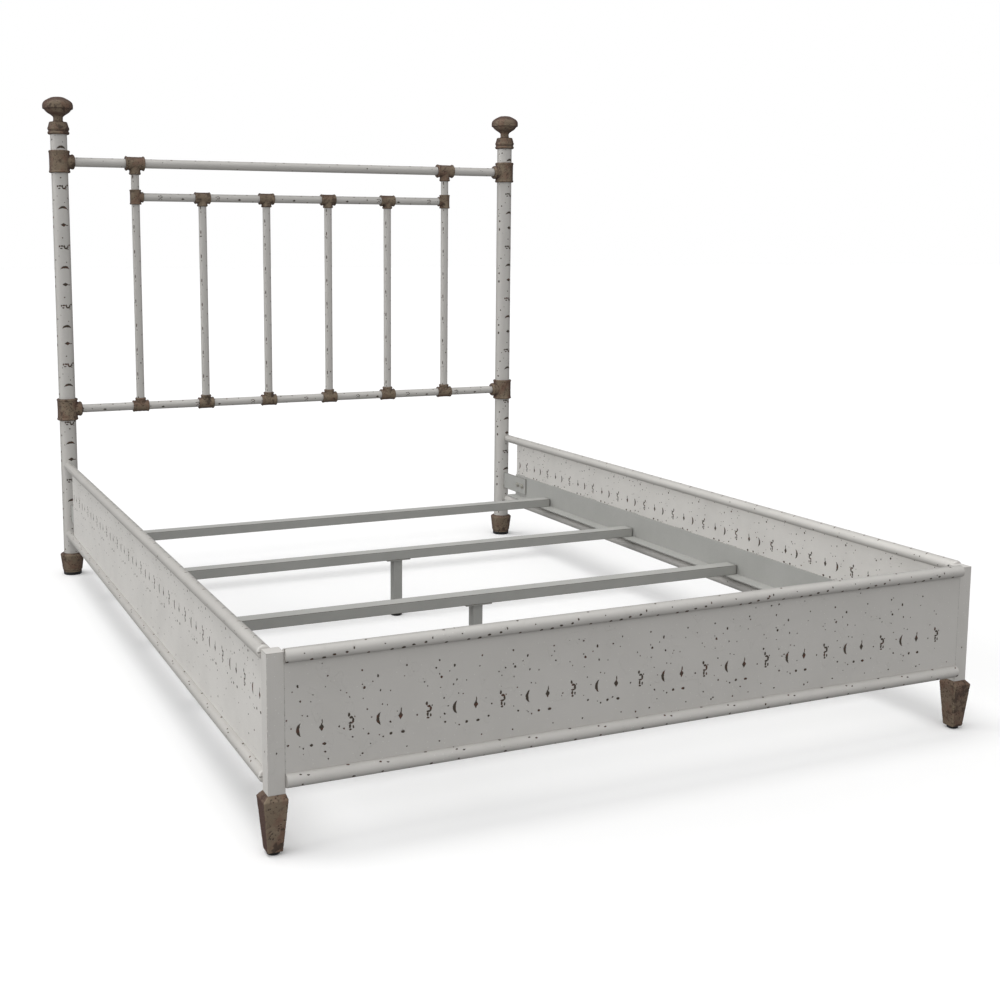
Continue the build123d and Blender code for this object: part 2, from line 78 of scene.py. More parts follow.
# ------------------------------------------------------------------ node trees
class Graph:
    """Adds nodes to one tree and links or fills what each is given."""

    def __init__(self, tree):
        self.tree = tree

    def put(self, socket, value):
        """Links a socket to the input, or sets its value."""
        if isinstance(value, bpy.types.NodeSocket):
            self.tree.links.new(value, socket)
        elif value is not None:
            socket.default_value = value

    def add(self, kind, inputs=None, **settings):
        """A node with its settings made and its inputs filled by name or number."""
        made = self.tree.nodes.new(kind)
        for name, value in settings.items():
            setattr(made, name, value)
        for name, value in (inputs or {}).items():
            self.put(made.inputs[name], value)
        return made

    def math(self, operation, *values, clamp=False):
        """Result of a Math node."""
        made = self.add("ShaderNodeMath", dict(enumerate(values)), operation=operation, use_clamp=clamp)
        return made.outputs[0]

    def vector(self, operation, first, second=None, scale=None):
        """Result of a Vector Math node, a number for dot products, lengths and distances."""
        made = self.add("ShaderNodeVectorMath", operation=operation)
        self.put(made.inputs[0], first)
        self.put(made.inputs[1], second)
        if scale is not None:
            self.put(made.inputs["Scale"], scale)
        numbers = ("DOT_PRODUCT", "LENGTH", "DISTANCE")
        return made.outputs["Value" if operation in numbers else "Vector"]

    def ramp(self, value, low, high, to_low=0.0, to_high=1.0):
        """A value taken smoothly from one range to another."""
        fields = {"Value": value, "From Min": low, "From Max": high, "To Min": to_low, "To Max": to_high}
        return self.add("ShaderNodeMapRange", fields, interpolation_type="SMOOTHSTEP").outputs["Result"]

    def mix(self, factor, first, second, blend="MIX"):
        """Two colours mixed."""
        made = self.add("ShaderNodeMix", data_type="RGBA", blend_type=blend)
        self.put(made.inputs[0], factor)
        self.put(made.inputs[6], first)
        self.put(made.inputs[7], second)
        return made.outputs[2]

    def noise(self, place, scale, detail=2.0, roughness=0.5, distortion=0.0):
        """Noise between 0 and 1."""
        fields = {"Vector": place, "Scale": scale, "Detail": detail, "Roughness": roughness,
                  "Distortion": distortion}
        return self.add("ShaderNodeTexNoise", fields).outputs[0]

    def join(self, x, y, z=0.0):
        """Three numbers as a vector."""
        return self.add("ShaderNodeCombineXYZ", {0: x, 1: y, 2: z}).outputs[0]

    def split(self, vector):
        """A vector's three numbers."""
        return self.add("ShaderNodeSeparateXYZ", {0: vector}).outputs


SOCKETS = {"number": "NodeSocketFloat", "vector": "NodeSocketVector", "colour": "NodeSocketColor",
           "geometry": "NodeSocketGeometry", "material": "NodeSocketMaterial",
           "object": "NodeSocketObject", "count": "NodeSocketInt"}


def new_group(name, kind, inputs, outputs):
    """A node group with named sockets, as (graph, group input's outputs, group output's inputs)."""
    tree = bpy.data.node_groups.new(name, kind)
    for label, sort, *default in inputs:
        socket = tree.interface.new_socket(label, in_out="INPUT", socket_type=SOCKETS[sort])
        if default:
            socket.default_value = default[0]
    for label, sort in outputs:
        tree.interface.new_socket(label, in_out="OUTPUT", socket_type=SOCKETS[sort])
    graph = Graph(tree)
    return graph, graph.add("NodeGroupInput").outputs, graph.add("NodeGroupOutput").inputs


def use_group(graph, name, values):
    """Places a shared shader group in a material and returns its outputs."""
    made = graph.tree.nodes.new("ShaderNodeGroup")
    made.node_tree = bpy.data.node_groups[name]
    for label, value in values.items():
        graph.put(made.inputs[label], value)
    return made.outputs


def new_material(name):
    """A material with an empty Principled shader, as (material, graph, shader, object coordinates)."""
    material = bpy.data.materials.new(name)
    material.use_nodes = True
    graph = Graph(material.node_tree)
    shader = material.node_tree.nodes["Principled BSDF"]
    point = graph.add("ShaderNodeTexCoord").outputs["Object"]
    return material, graph, shader, point


def paint_node(node, material):
    """Gives a carried-over node its material."""
    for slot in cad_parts[node].material_slots:
        slot.material = material


# ------------------------------------------------------------------ shared effects
def surface_place_group():
    """Where a point lies on a tube or panel: metres along it and metres round or up it."""
    graph, given, out = new_group("Surface place", "ShaderNodeTree", [
        ("Point", "vector"), ("Centre", "vector"), ("Along", "vector"), ("Up", "vector"),
        ("Facing", "vector"), ("Radius", "number", 0.0127)],
        [("Round", "vector"), ("Flat", "vector"), ("Out", "number")])
    reach = graph.vector("SUBTRACT", given["Point"], given["Centre"])
    along = graph.vector("DOT_PRODUCT", reach, given["Along"])
    up = graph.vector("DOT_PRODUCT", reach, given["Up"])
    out_by = graph.vector("DOT_PRODUCT", reach, given["Facing"])
    turned = graph.math("MULTIPLY", graph.math("ARCTAN2", up, out_by), given["Radius"])
    graph.put(out["Round"], graph.join(along, turned))
    graph.put(out["Flat"], graph.join(along, up))
    graph.put(out["Out"], out_by)


CRESCENT_BACK, CRESCENT_FRONT = 12.6, 27.7      # radii of a crescent chip's two arcs, mm
CRESCENT_THICK, CRESCENT_BULGE = 6.2, 3.7
ROW_LEAD = 36.0             # part of a row's repeat that lies before its first crescent, mm
FOOT_ROW_START = 0.0075     # first crescent from the foot panel's middle
FOOT_ROW_STOP = 0.715       # the row ends here, short of the right foot post
FOOT_ROW_Z, SIDE_ROW_Z = 0.2196, 0.2697    # heights of the rows on the foot and side panels
SIDE_ROW_START = 0.0728     # first crescent from a side panel's front end
POST_ROW_Z, POST_ROW_SCALE = 1.3455, 1.2403
POST_ROW_ACROSS = {"left": 2.9 * MM, "right": 9.5 * MM}
BOLT_COUNT = 16
STITCH, STITCH_PITCH = 0.045, 0.24         # length and spacing of the ledges' stitch welds


def chip_shape(graph, place, mark):
    """How far inside one chip a point is, in millimetres. A mark is (shape, along, up) and, but for
    a crescent, its width and height."""
    shape, along, up, *spans = mark
    reach = graph.vector("SUBTRACT", place, (along, up, 0.0))
    if shape == "crescent":
        back = graph.vector("DISTANCE", reach, (CRESCENT_BACK - CRESCENT_BULGE, 0.0, 0.0))
        front_x = CRESCENT_FRONT - CRESCENT_BULGE + CRESCENT_THICK
        front = graph.vector("DISTANCE", reach, (front_x, 0.0, 0.0))
        return graph.math("MINIMUM", graph.math("SUBTRACT", CRESCENT_BACK, back),
                          graph.math("SUBTRACT", front, CRESCENT_FRONT))
    width, height = spans
    share = graph.vector("DIVIDE", reach, (width / 2, height / 2, 1.0))
    if shape == "diamond":
        far = graph.vector("DOT_PRODUCT", graph.vector("ABSOLUTE", share), (1.0, 1.0, 0.0))
    else:
        far = graph.vector("LENGTH", share)
    return graph.math("MULTIPLY", graph.math("SUBTRACT", 1.0, far), min(width, height) / 2)


def chip_row_group(name, period, marks):
    """Chips that repeat along a piece. Outputs the chip mask and a softer one for its depth."""
    graph, given, out = new_group(name, "ShaderNodeTree", [
        ("Place", "vector"), ("Start", "number", 0.0), ("Across", "number", 0.0),
        ("Scale", "number", 1.0)], [("Chip", "number"), ("Worn", "number")])
    shifted = graph.vector("SUBTRACT", given["Place"], graph.join(given["Start"], given["Across"]))
    per_mm = graph.math("DIVIDE", 1000.0, given["Scale"])
    spread = graph.vector("SCALE", shifted, scale=per_mm)
    wobble = graph.add("ShaderNodeTexNoise", {"Vector": spread, "Scale": 0.28, "Detail": 2.0})
    ragged = graph.vector("SCALE", graph.vector("SUBTRACT", wobble.outputs["Color"], (0.5, 0.5, 0.5)),
                          scale=2.6)
    along, up, _ = graph.split(spread)
    turns = graph.math("FRACT", graph.math("DIVIDE", graph.math("ADD", along, ROW_LEAD), period))
    wrapped = graph.math("SUBTRACT", graph.math("MULTIPLY", turns, period), ROW_LEAD)
    place = graph.vector("ADD", graph.join(wrapped, up), ragged)
    place = graph.vector("MULTIPLY", place, (1.0, 1.0, 0.0))
    depth = None
    for mark in marks:
        inside = chip_shape(graph, place, mark)
        depth = inside if depth is None else graph.math("MAXIMUM", depth, inside)
    graph.put(out["Chip"], graph.ramp(depth, -0.2, 0.35))
    graph.put(out["Worn"], graph.ramp(depth, -1.3, 0.5))


def speck_group():
    """Small chips strewn over a surface, one or none to a cell."""
    graph, given, out = new_group("Specks", "ShaderNodeTree", [
        ("Place", "vector"), ("Cell", "number", 0.02), ("Biggest", "number", 0.003),
        ("Share", "number", 0.5)], [("Chip", "number"), ("Worn", "number")])
    wobble = graph.add("ShaderNodeTexNoise", {"Vector": given["Place"], "Scale": 330.0, "Detail": 2.0})
    ragged = graph.vector("SCALE", graph.vector("SUBTRACT", wobble.outputs["Color"], (0.5, 0.5, 0.5)),
                          scale=0.0032)
    place = graph.vector("ADD", given["Place"], ragged)
    per_cell = graph.math("DIVIDE", 1.0, given["Cell"])
    cells = graph.add("ShaderNodeTexVoronoi", {"Vector": place, "Scale": per_cell},
                      voronoi_dimensions="2D")
    odds = graph.split(cells.outputs["Color"])
    small = graph.math("POWER", odds[0], 2.2)
    radius = graph.math("MULTIPLY", given["Biggest"], graph.math("MULTIPLY_ADD", small, 0.42, 0.08))
    there = graph.math("LESS_THAN", odds[1], given["Share"])
    far = graph.math("MULTIPLY", cells.outputs["Distance"], given["Cell"])
    inside = graph.math("MULTIPLY", graph.math("SUBTRACT", radius, far), there)
    graph.put(out["Chip"], graph.ramp(inside, 0.0, 0.0003))
    graph.put(out["Worn"], graph.ramp(inside, -0.0004, 0.0004))


def paint_skin_group():
    """Brushed paint: slow shading, pale flecks, and the height of its pimples and brush marks."""
    graph, given, out = new_group("Paint skin", "ShaderNodeTree", [
        ("Place", "vector"), ("Paint", "colour", (0.6, 0.6, 0.56, 1)),
        ("Shade", "colour", (0.5, 0.5, 0.46, 1))],
        [("Colour", "colour"), ("Height", "number"), ("Rough", "number")])
    slow = graph.noise(given["Place"], 7.0, detail=4.0, roughness=0.6)
    colour = graph.mix(graph.ramp(slow, 0.35, 0.75, 0.0, 0.4), given["Paint"], given["Shade"])
    brushed = graph.vector("MULTIPLY", given["Place"], (26.0, 420.0, 1.0))
    streak = graph.noise(brushed, 1.0, detail=3.0)
    colour = graph.mix(graph.ramp(streak, 0.3, 0.8, 0.0, 0.1), colour, given["Shade"])
    flecks = graph.add("ShaderNodeTexVoronoi", {"Vector": given["Place"], "Scale": 70.0},
                       voronoi_dimensions="2D")
    rare = graph.math("LESS_THAN", graph.split(flecks.outputs["Color"])[2], 0.2)
    fleck = graph.math("MULTIPLY", graph.ramp(flecks.outputs["Distance"], 0.09, 0.04), rare)
    colour = graph.mix(graph.math("MULTIPLY", fleck, 0.55), colour, (0.78, 0.78, 0.74, 1.0))
    pimples = graph.noise(given["Place"], 240.0, detail=3.0, roughness=0.55)
    height = graph.math("ADD", graph.math("MULTIPLY", pimples, 0.55), graph.math("MULTIPLY", streak, 0.25))
    height = graph.math("ADD", height, graph.math("MULTIPLY", fleck, 0.8))
    graph.put(out["Colour"], colour)
    graph.put(out["Height"], height)
    graph.put(out["Rough"], graph.ramp(pimples, 0.3, 0.7, 0.36, 0.5))


def bare_iron_group():
    """Rusty brown of the iron that shows in a chip."""
    graph, given, out = new_group("Bare iron", "ShaderNodeTree", [
        ("Point", "vector"), ("Dark", "colour", (0.05, 0.035, 0.025, 1)),
        ("Rust", "colour", (0.12, 0.05, 0.03, 1))], [("Colour", "colour"), ("Rough", "number")])
    grain = graph.noise(given["Point"], 420.0, detail=3.0, roughness=0.65)
    patches = graph.noise(given["Point"], 95.0, detail=1.0)
    amount = graph.math("MULTIPLY", graph.ramp(patches, 0.5, 0.62), graph.ramp(grain, 0.35, 0.65))
    graph.put(out["Colour"], graph.mix(amount, given["Dark"], given["Rust"]))
    graph.put(out["Rough"], graph.ramp(grain, 0.3, 0.7, 0.72, 0.92))


def edge_group():
    """Mask along the long edges of a square bar, from the middle and half sizes of its section."""
    graph, given, out = new_group("Square edge", "ShaderNodeTree", [
        ("Point", "vector"), ("Centre", "vector"), ("Half", "vector"), ("Width", "number", 0.002)],
        [("Edge", "number")])
    reach = graph.vector("ABSOLUTE", graph.vector("SUBTRACT", given["Point"], given["Centre"]))
    shy_x, shy_y, shy_z = graph.split(graph.vector("SUBTRACT", given["Half"], reach))
    least = graph.math("MINIMUM", graph.math("MINIMUM", shy_x, shy_y), shy_z)
    most = graph.math("MAXIMUM", graph.math("MAXIMUM", shy_x, shy_y), shy_z)
    both = graph.math("SUBTRACT", graph.math("ADD", graph.math("ADD", shy_x, shy_y), shy_z), most)
    both = graph.math("SUBTRACT", both, least)
    ragged = graph.math("MULTIPLY", graph.noise(given["Point"], 160.0, detail=4.0, roughness=0.7),
                        given["Width"])
    graph.put(out["Edge"], graph.ramp(graph.math("SUBTRACT", ragged, both), 0.0, 0.0004))


PANEL_PERIOD = 148.0
PANEL_CHIPS = (
    ("crescent", 0.0, 0.0), ("diamond", 42.8, 0.0, 9.4, 16.0), ("dot", 44.0, 10.0, 2.4, 9.0),
    ("dot", 75.0, -3.6, 3.4, 3.6),
    # the scrawl between two crescents
    ("dot", 93.4, 15.0, 4.6, 7.4), ("dot", 97.4, 9.6, 7.4, 4.6), ("dot", 101.0, 4.6, 4.8, 9.6),
    ("dot", 96.6, 0.0, 8.4, 3.6), ("dot", 95.2, -5.6, 4.2, 8.6), ("dot", 101.2, -7.6, 3.4, 6.4),
    ("dot", 96.0, -12.0, 5.4, 3.8), ("dot", 104.0, 10.0, 2.4, 3.6),
    # dots under the row, then close round it
    ("dot", -18.4, -24.5, 4.4, 4.0), ("dot", 9.5, -33.9, 3.4, 3.6), ("dot", 24.3, -30.0, 5.8, 5.2),
    ("dot", 47.4, -30.4, 7.6, 5.2), ("dot", 2.4, -29.6, 2.4, 2.2), ("dot", -12.4, 4.6, 3.0, 2.4),
    ("dot", -20.7, 20.2, 3.0, 2.8), ("dot", 8.0, 25.4, 2.8, 2.6), ("dot", 17.2, 23.2, 2.6, 2.6),
    ("dot", -28.0, -14.2, 2.2, 2.4), ("dot", -29.6, -58.6, 3.8, 3.4), ("dot", 54.8, -58.5, 3.0, 2.8),
    # specks of the upper part
    ("dot", 0.0, 78.0, 4.2, 6.0), ("dot", 4.4, 51.0, 3.0, 4.6), ("dot", -9.8, 69.0, 2.4, 3.0),
    ("dot", 23.7, 48.0, 2.0, 3.0), ("dot", -25.8, 60.0, 5.0, 5.2), ("dot", -29.6, 66.0, 2.6, 2.8),
    ("dot", -28.0, 41.0, 3.0, 2.0), ("dot", 89.0, 55.0, 2.6, 2.8), ("dot", -30.0, 91.6, 3.8, 3.8),
    ("dot", 54.8, 90.0, 3.4, 3.8), ("dot", 50.3, 71.0, 2.4, 2.4), ("dot", 95.0, 47.0, 2.2, 3.0))
BEAD_CHIPS = (
    ("dot", 63.0, -5.0, 7.0, 4.6), ("dot", 86.0, -3.0, 6.0, 4.4), ("dot", 99.0, 3.0, 3.0, 5.0),
    ("dot", 23.0, -10.4, 6.4, 7.0), ("dot", 45.0, -10.0, 8.0, 7.4), ("dot", -21.0, -10.6, 6.0, 6.4),
    ("dot", -24.0, 16.5, 5.4, 3.4), ("dot", 9.0, 4.0, 2.6, 2.4))
LOW_BEAD_CHIPS = (
    ("dot", 1.5, 12.0, 5.0, 3.2), ("dot", 15.0, 9.0, 5.6, 3.0), ("dot", 4.0, -7.0, 4.6, 4.6),
    ("dot", 98.0, -8.0, 6.8, 5.4), ("dot", 90.0, 17.5, 6.0, 4.0), ("dot", 55.0, -9.0, 3.0, 2.4))
SIDE_BEAD_CHIPS = (
    ("dot", -34.0, 20.0, 3.2, 8.0), ("dot", -39.0, 14.8, 4.0, 4.0), ("dot", 12.0, 24.5, 3.0, 9.0),
    ("dot", 61.0, 22.0, 3.0, 9.0), ("dot", 90.0, -4.0, 3.0, 3.0))
SPINDLE_CHIPS = (
    ("dot", 0.0, -10.0, 13.0, 3.6), ("dot", 14.0, -8.6, 5.0, 2.6), ("dot", 30.0, 8.0, 5.0, 3.0),
    ("dot", 52.0, 10.5, 8.0, 3.0), ("dot", 44.0, -3.0, 3.0, 2.6), ("dot", 64.0, 2.0, 3.2, 3.0))
RAIL_CHIPS = (
    ("dot", -4.0, 3.4, 6.0, 2.8), ("dot", 2.0, 4.6, 6.4, 3.0), ("dot", 6.0, 0.6, 3.2, 6.4),
    ("dot", 1.0, -2.4, 6.6, 2.8), ("dot", -3.0, -7.0, 5.0, 2.8), ("dot", 5.4, -7.0, 3.4, 3.0),
    ("dot", 33.0, -1.0, 3.4, 2.8), ("diamond", 73.6, -5.0, 12.0, 7.0), ("dot", 100.0, 12.0, 6.0, 4.0),
    ("dot", 140.0, 13.0, 5.0, 4.0), ("dot", 60.0, 13.5, 4.0, 3.4), ("dot", 120.0, -12.0, 5.0, 4.0))
TOP_RAIL_CHIPS = (
    ("dot", 0.0, 15.0, 6.0, 4.4), ("dot", 45.0, 16.0, 5.0, 4.0), ("dot", 110.0, 15.0, 7.0, 4.4),
    ("dot", 80.0, 4.0, 2.8, 2.4), ("dot", 138.0, -14.0, 5.0, 3.6))
CHIP_ROWS = {
    "Panel chips": (PANEL_PERIOD, PANEL_CHIPS),
    "Bead chips": (PANEL_PERIOD, BEAD_CHIPS),
    "Low bead chips": (PANEL_PERIOD, LOW_BEAD_CHIPS),
    "Side bead chips": (PANEL_PERIOD, SIDE_BEAD_CHIPS),
    "Spindle chips": (78.0, SPINDLE_CHIPS),
    "Rail chips": (187.6, RAIL_CHIPS),
    "Top rail chips": (187.6, TOP_RAIL_CHIPS),
}


def shared_groups():
    """Builds each shared shader group once."""
    if "Surface place" in bpy.data.node_groups:
        return
    surface_place_group()
    speck_group()
    paint_skin_group()
    bare_iron_group()
    edge_group()
    for name, (period, marks) in CHIP_ROWS.items():
        chip_row_group(name, period, marks)


# ------------------------------------------------------------------ settings
def colour(name, description, default):
    """A colour setting."""
    return FloatVectorProperty(name=name, description=description, default=default, subtype="COLOR",
                               size=3, min=0.0, max=1.0)


def length(name, description, default):
    """A length setting, in metres."""
    return FloatProperty(name=name, description=description, default=default, unit="LENGTH", precision=5)


def number(name, description, default):
    """A plain number setting."""
    return FloatProperty(name=name, description=description, default=default)


def opaque(value):
    """A colour setting as red, green, blue and full alpha."""
    return (*value, 1.0)


class BED_PG_paint(PropertyGroup):
    """Aged paint on tubes, beads, panels and foot posts."""
    paint: colour("Paint", "Ivory white of the sound paint", (0.606, 0.589, 0.562))
    shade: colour("Shade", "Greyer tone that the paint drifts to", (0.535, 0.520, 0.492))
    # Painted light: the side panels and their beads get a paler coat that stands in for the stronger light
    # falling on the sides.
    side_lit_paint: colour("Side lit paint", "Colour of the coat on the side panels and their beads, a little paler",
                       (0.685, 0.666, 0.635))
    # Painted shade: round pieces turn towards this colour, by the amount below, at their outline as seen,
    # standing in for shade.
    outline_shade: colour("Outline shade", "Grey-brown that tubes turn to at their outline", (0.16, 0.15, 0.135))
    grime_and_shade: number("Outline shade strength", "How strongly tubes turn to that at their outline", 0.5)
    dark: colour("Chip", "Brown iron that shows in a chip", (0.064, 0.051, 0.038))
    rust: colour("Rust", "Redder brown in the deeper chips", (0.125, 0.050, 0.034))
    speck: length("Biggest speck", "Width of the biggest strewn chip", 0.0044)
    cell: length("Speck spacing", "Size of the patch that holds one speck", 0.0175)
    chip_depth: length("Chip depth", "How far a chip goes into the paint", 0.0006)
    skin_depth: length("Skin depth", "Height of pimples and brush marks", 0.00012)


class BED_PG_casting(PropertyGroup):
    """Sand castings: finials, collars, tees, ferrules and legs."""
    grain: length("Mesh grain", "Size of a casting's mesh cells", 0.0013)
    swell: length("Swell", "Depth of the uneven sand face", 0.0005)
    pit: length("Pit depth", "Depth of the small sand pits", 0.0004)
    ridge: length("Parting ridge", "Height of the ridge where the mould's halves met", 0.0004)
    vein: length("Vein depth", "Depth of the winding grooves in the face", 0.0004)
    bronze: colour("Bronze", "Olive brown of the casting's face", (0.222, 0.171, 0.120))
    pale: colour("Worn", "Paler brown on edges and high spots", (0.310, 0.246, 0.176))
    rust: colour("Rust", "Reddish brown patches", (0.190, 0.112, 0.078))
    dark: colour("Hollow", "Dark brown in pits and grooves", (0.050, 0.036, 0.027))
    # Painted shade: the castings darken towards this colour at their outline, by view angle.
    outline: colour("Outline", "Dark red-brown that the face turns to at its outline", (0.060, 0.028, 0.022))


class BED_PG_fixings(PropertyGroup):
    """Bolts, washers, welds and deck steel."""
    flats: length("Across flats", "Width of a hex head across its flats", 0.013)
    head: length("Head height", "Height of a hex head", 0.0053)
    washer: length("Washer radius", "Radius of the plain washer under a head", 0.0085)
    washer_thick: length("Washer thickness", "Thickness of the plain washer", 0.0014)
    shank: length("Shank radius", "Radius of the bolt's shank", 0.004)
    weld: length("Weld size", "Radius of a weld seam", 0.0021)
    ripple: length("Weld ripple", "Distance between a seam's ripples", 0.0030)
    steel: colour("Deck steel", "Powder coat of bars, ledges and brackets", (0.42, 0.42, 0.40))
    zinc: colour("Zinc", "Plated bolts and washers", (0.56, 0.55, 0.50))


class BED_PG_glides(PropertyGroup):
    """Screw glides under the legs."""
    pitch: length("Thread pitch", "Distance between two turns of the stem's thread", 0.00125)
    thread: length("Thread depth", "Depth of the stem's thread", 0.0006)
    grips: IntProperty(name="Grips", description="Finger flutes round a pad", default=18, min=0)
    nylon: colour("Nylon", "Black of the moulded pads", (0.012, 0.012, 0.013))


class BED_PG_stage(PropertyGroup):
    """Floor, lights and camera."""
    floor: colour("Floor", "Plain pale floor as it is seen", (0.93, 0.93, 0.93))
    floor_glow: number("Floor glow", "Brightness the floor is lifted by where it is looked at", 0.06)
    floor_bounce: number("Floor bounce", "Share of light the floor sends back up to the bed", 0.32)
    sky: number("Soft light", "Strength of the light from all round", 0.49)
    key: number("Key light", "Strength of the large lamp overhead", 1.3)
    key_spread: FloatProperty(name="Key spread", description="Width of the lamp as seen from the bed",
                              default=radians(34), subtype="ANGLE")
    key_lean: FloatProperty(name="Key lean", description="How far the lamp leans to the left",
                            default=radians(10), subtype="ANGLE")
    side: number("Side light", "Strength of the low lamp on the left", 1.3)
    fill: number("Fill light", "Strength of the weak lamp above the foot end", 0.52)
    place: FloatVectorProperty(name="Camera", description="Where the camera stands", subtype="TRANSLATION",
                               unit="LENGTH", default=(-1.415, -3.1575, 1.039))
    dip: FloatProperty(name="Camera dip", description="How far the camera looks down",
                       default=0.1302, subtype="ANGLE")
    turn: FloatProperty(name="Camera turn", description="How far the camera turns to the right",
                        default=0.4003, subtype="ANGLE")
    lens: FloatProperty(name="Lens", description="Focal length in millimetres", default=47.38)
    shift: FloatVectorProperty(name="Lens shift", description="Shift of the picture across and up",
                               size=2, default=(0.10, -0.08))


# ------------------------------------------------------------------ stage
class BED_OT_stage(Operator):
    """Pale floor, even white surround, three soft lamps and the camera"""
    bl_idname = "bed.stage"
    bl_label = "Stage"

    def execute(self, context):
        settings = context.scene.bed_stage
        self.floor(settings)
        self.world(context, settings)
        self.lamps(context, settings)
        self.camera(context, settings)
        context.scene.view_settings.view_transform = "Standard"
        return {"FINISHED"}

    def floor(self, settings):
        """A level floor that runs out to the horizon."""
        half = 60.0
        mesh = bpy.data.meshes.new("floor")
        mesh.from_pydata([(-half, -half, 0), (half, -half, 0), (half, half, 0), (-half, half, 0)], [],
                         [(0, 1, 2, 3)])
        material, graph, shader, point = new_material("Studio floor")
        tone = graph.noise(point, 1.5, detail=3.0)
        pale = graph.mix(graph.ramp(tone, 0.3, 0.7, 0.0, 0.04), opaque(settings.floor), (0.8, 0.8, 0.8, 1.0))
        seen = graph.add("ShaderNodeLightPath").outputs["Is Camera Ray"]
        dim = (settings.floor_bounce,) * 3
        graph.put(shader.inputs["Base Color"], graph.mix(seen, opaque(dim), pale))
        shader.inputs["Roughness"].default_value = 0.9
        shader.inputs["Specular IOR Level"].default_value = 0.1
        shader.inputs["Emission Color"].default_value = (1.0, 1.0, 1.0, 1.0)
        graph.put(shader.inputs["Emission Strength"], graph.math("MULTIPLY", seen, settings.floor_glow))
        mesh.materials.append(material)
        floor_object = bpy.data.objects.new("floor", mesh)
        bpy.context.scene.collection.objects.link(floor_object)

    def world(self, context, settings):
        """White where it is looked at, and a softer light on the bed."""
        world = bpy.data.worlds.new("Studio")
        world.use_nodes = True
        context.scene.world = world
        graph = Graph(world.node_tree)
        background = world.node_tree.nodes["Background"]
        seen = graph.add("ShaderNodeLightPath").outputs["Is Camera Ray"]
        strength = graph.math("MULTIPLY_ADD", seen, 1.0 - settings.sky, settings.sky)
        background.inputs["Color"].default_value = (1.0, 1.0, 1.0, 1.0)
        graph.put(background.inputs["Strength"], strength)

    def lamps(self, context, settings):
        """The large soft key lamp, a low one on the left and a weak fill above the foot end."""
        lean = settings.key_lean
        for name, strength, spread, aim in (
                ("key", settings.key, settings.key_spread, (sin(lean), 0.0, -cos(lean))),
                ("side", settings.side, radians(50), (0.94, -0.26, -0.24)),
                ("fill", settings.fill, radians(60), (0.2, 0.8, -0.7))):
            light = bpy.data.lights.new(name, "SUN")
            light.energy = strength
            light.angle = spread
            lamp = bpy.data.objects.new(name, light)
            lamp.rotation_euler = Vector(aim).to_track_quat("-Z", "Y").to_euler()
            lamp.location = (-1.5, 0.0, 3.0)
            context.scene.collection.objects.link(lamp)

    def camera(self, context, settings):
        """The camera at the foot end, left of the bed."""
        data = bpy.data.cameras.new("camera")
        data.lens = settings.lens
        data.shift_x, data.shift_y = settings.shift
        camera = bpy.data.objects.new("camera", data)
        camera.location = settings.place
        camera.rotation_euler = (pi / 2 - settings.dip, 0.0, -settings.turn)
        context.scene.collection.objects.link(camera)
        context.scene.camera = camera


# ------------------------------------------------------------------ paint
def painted(name, settings, centre, along, up, facing, radius, row, start=0.0, across=0.0, scale=1.0,
            strewn=1.0, edge_half=None, paint=None, stop=None):
    """Aged paint for one piece. The row of chips starts at a distance from the piece's middle."""
    material, graph, shader, point = new_material("Aged paint " + name)
    spot = use_group(graph, "Surface place", {"Point": point, "Centre": centre, "Along": along, "Up": up,
                                              "Facing": facing, "Radius": radius or 1.0})
    place = spot["Round" if radius else "Flat"]
    skin = use_group(graph, "Paint skin", {"Place": place, "Paint": opaque(paint or settings.paint),
                                           "Shade": opaque(settings.shade)})
    specks = use_group(graph, "Specks", {"Place": place, "Cell": settings.cell, "Biggest": settings.speck,
                                         "Share": 0.62 * strewn})
    chip, worn = specks["Chip"], specks["Worn"]
    if row:
        chips = use_group(graph, row, {"Place": place, "Start": start, "Across": across, "Scale": scale})
        outside = graph.math("GREATER_THAN", spot["Out"], -MM) if not radius else 1.0
        if stop:
            before = graph.math("LESS_THAN", graph.split(place)[0], stop)
            outside = graph.math("MULTIPLY", outside, before)
        chip = graph.math("MAXIMUM", chip, graph.math("MULTIPLY", chips["Chip"], outside))
        worn = graph.math("MAXIMUM", worn, graph.math("MULTIPLY", chips["Worn"], outside))
    if edge_half:
        rim = use_group(graph, "Square edge", {"Point": point, "Centre": centre, "Half": edge_half,
                                               "Width": 0.0016})
        chip = graph.math("MAXIMUM", chip, graph.math("MULTIPLY", rim["Edge"], 0.35))
    iron = use_group(graph, "Bare iron", {"Point": point, "Dark": opaque(settings.dark),
                                          "Rust": opaque(settings.rust)})
    coat = skin["Colour"]
    # Painted shade: round pieces darken towards the outline colour where they turn from view, standing in for
    # shade.
    if radius:
        outline = graph.add("ShaderNodeLayerWeight", {"Blend": 0.5}).outputs["Facing"]
        coat = graph.mix(graph.ramp(outline, 0.12, 0.9, 0.0, settings.grime_and_shade), coat, opaque(settings.outline_shade))
    graph.put(shader.inputs["Base Color"], graph.mix(chip, coat, iron["Colour"]))
    rough = graph.add("ShaderNodeMix", {0: chip, 2: skin["Rough"], 3: iron["Rough"]}).outputs[0]
    graph.put(shader.inputs["Roughness"], rough)
    shader.inputs["Specular IOR Level"].default_value = 0.42
    fine = graph.add("ShaderNodeBump", {"Height": skin["Height"], "Distance": settings.skin_depth})
    deep = graph.add("ShaderNodeBump", {"Height": worn, "Distance": settings.chip_depth,
                                        "Normal": fine.outputs[0]}, invert=True)
    graph.put(shader.inputs["Normal"], deep.outputs[0])
    return material


RIGHT, BACK, UP = Vector((1, 0, 0)), Vector((0, 1, 0)), Vector((0, 0, 1))


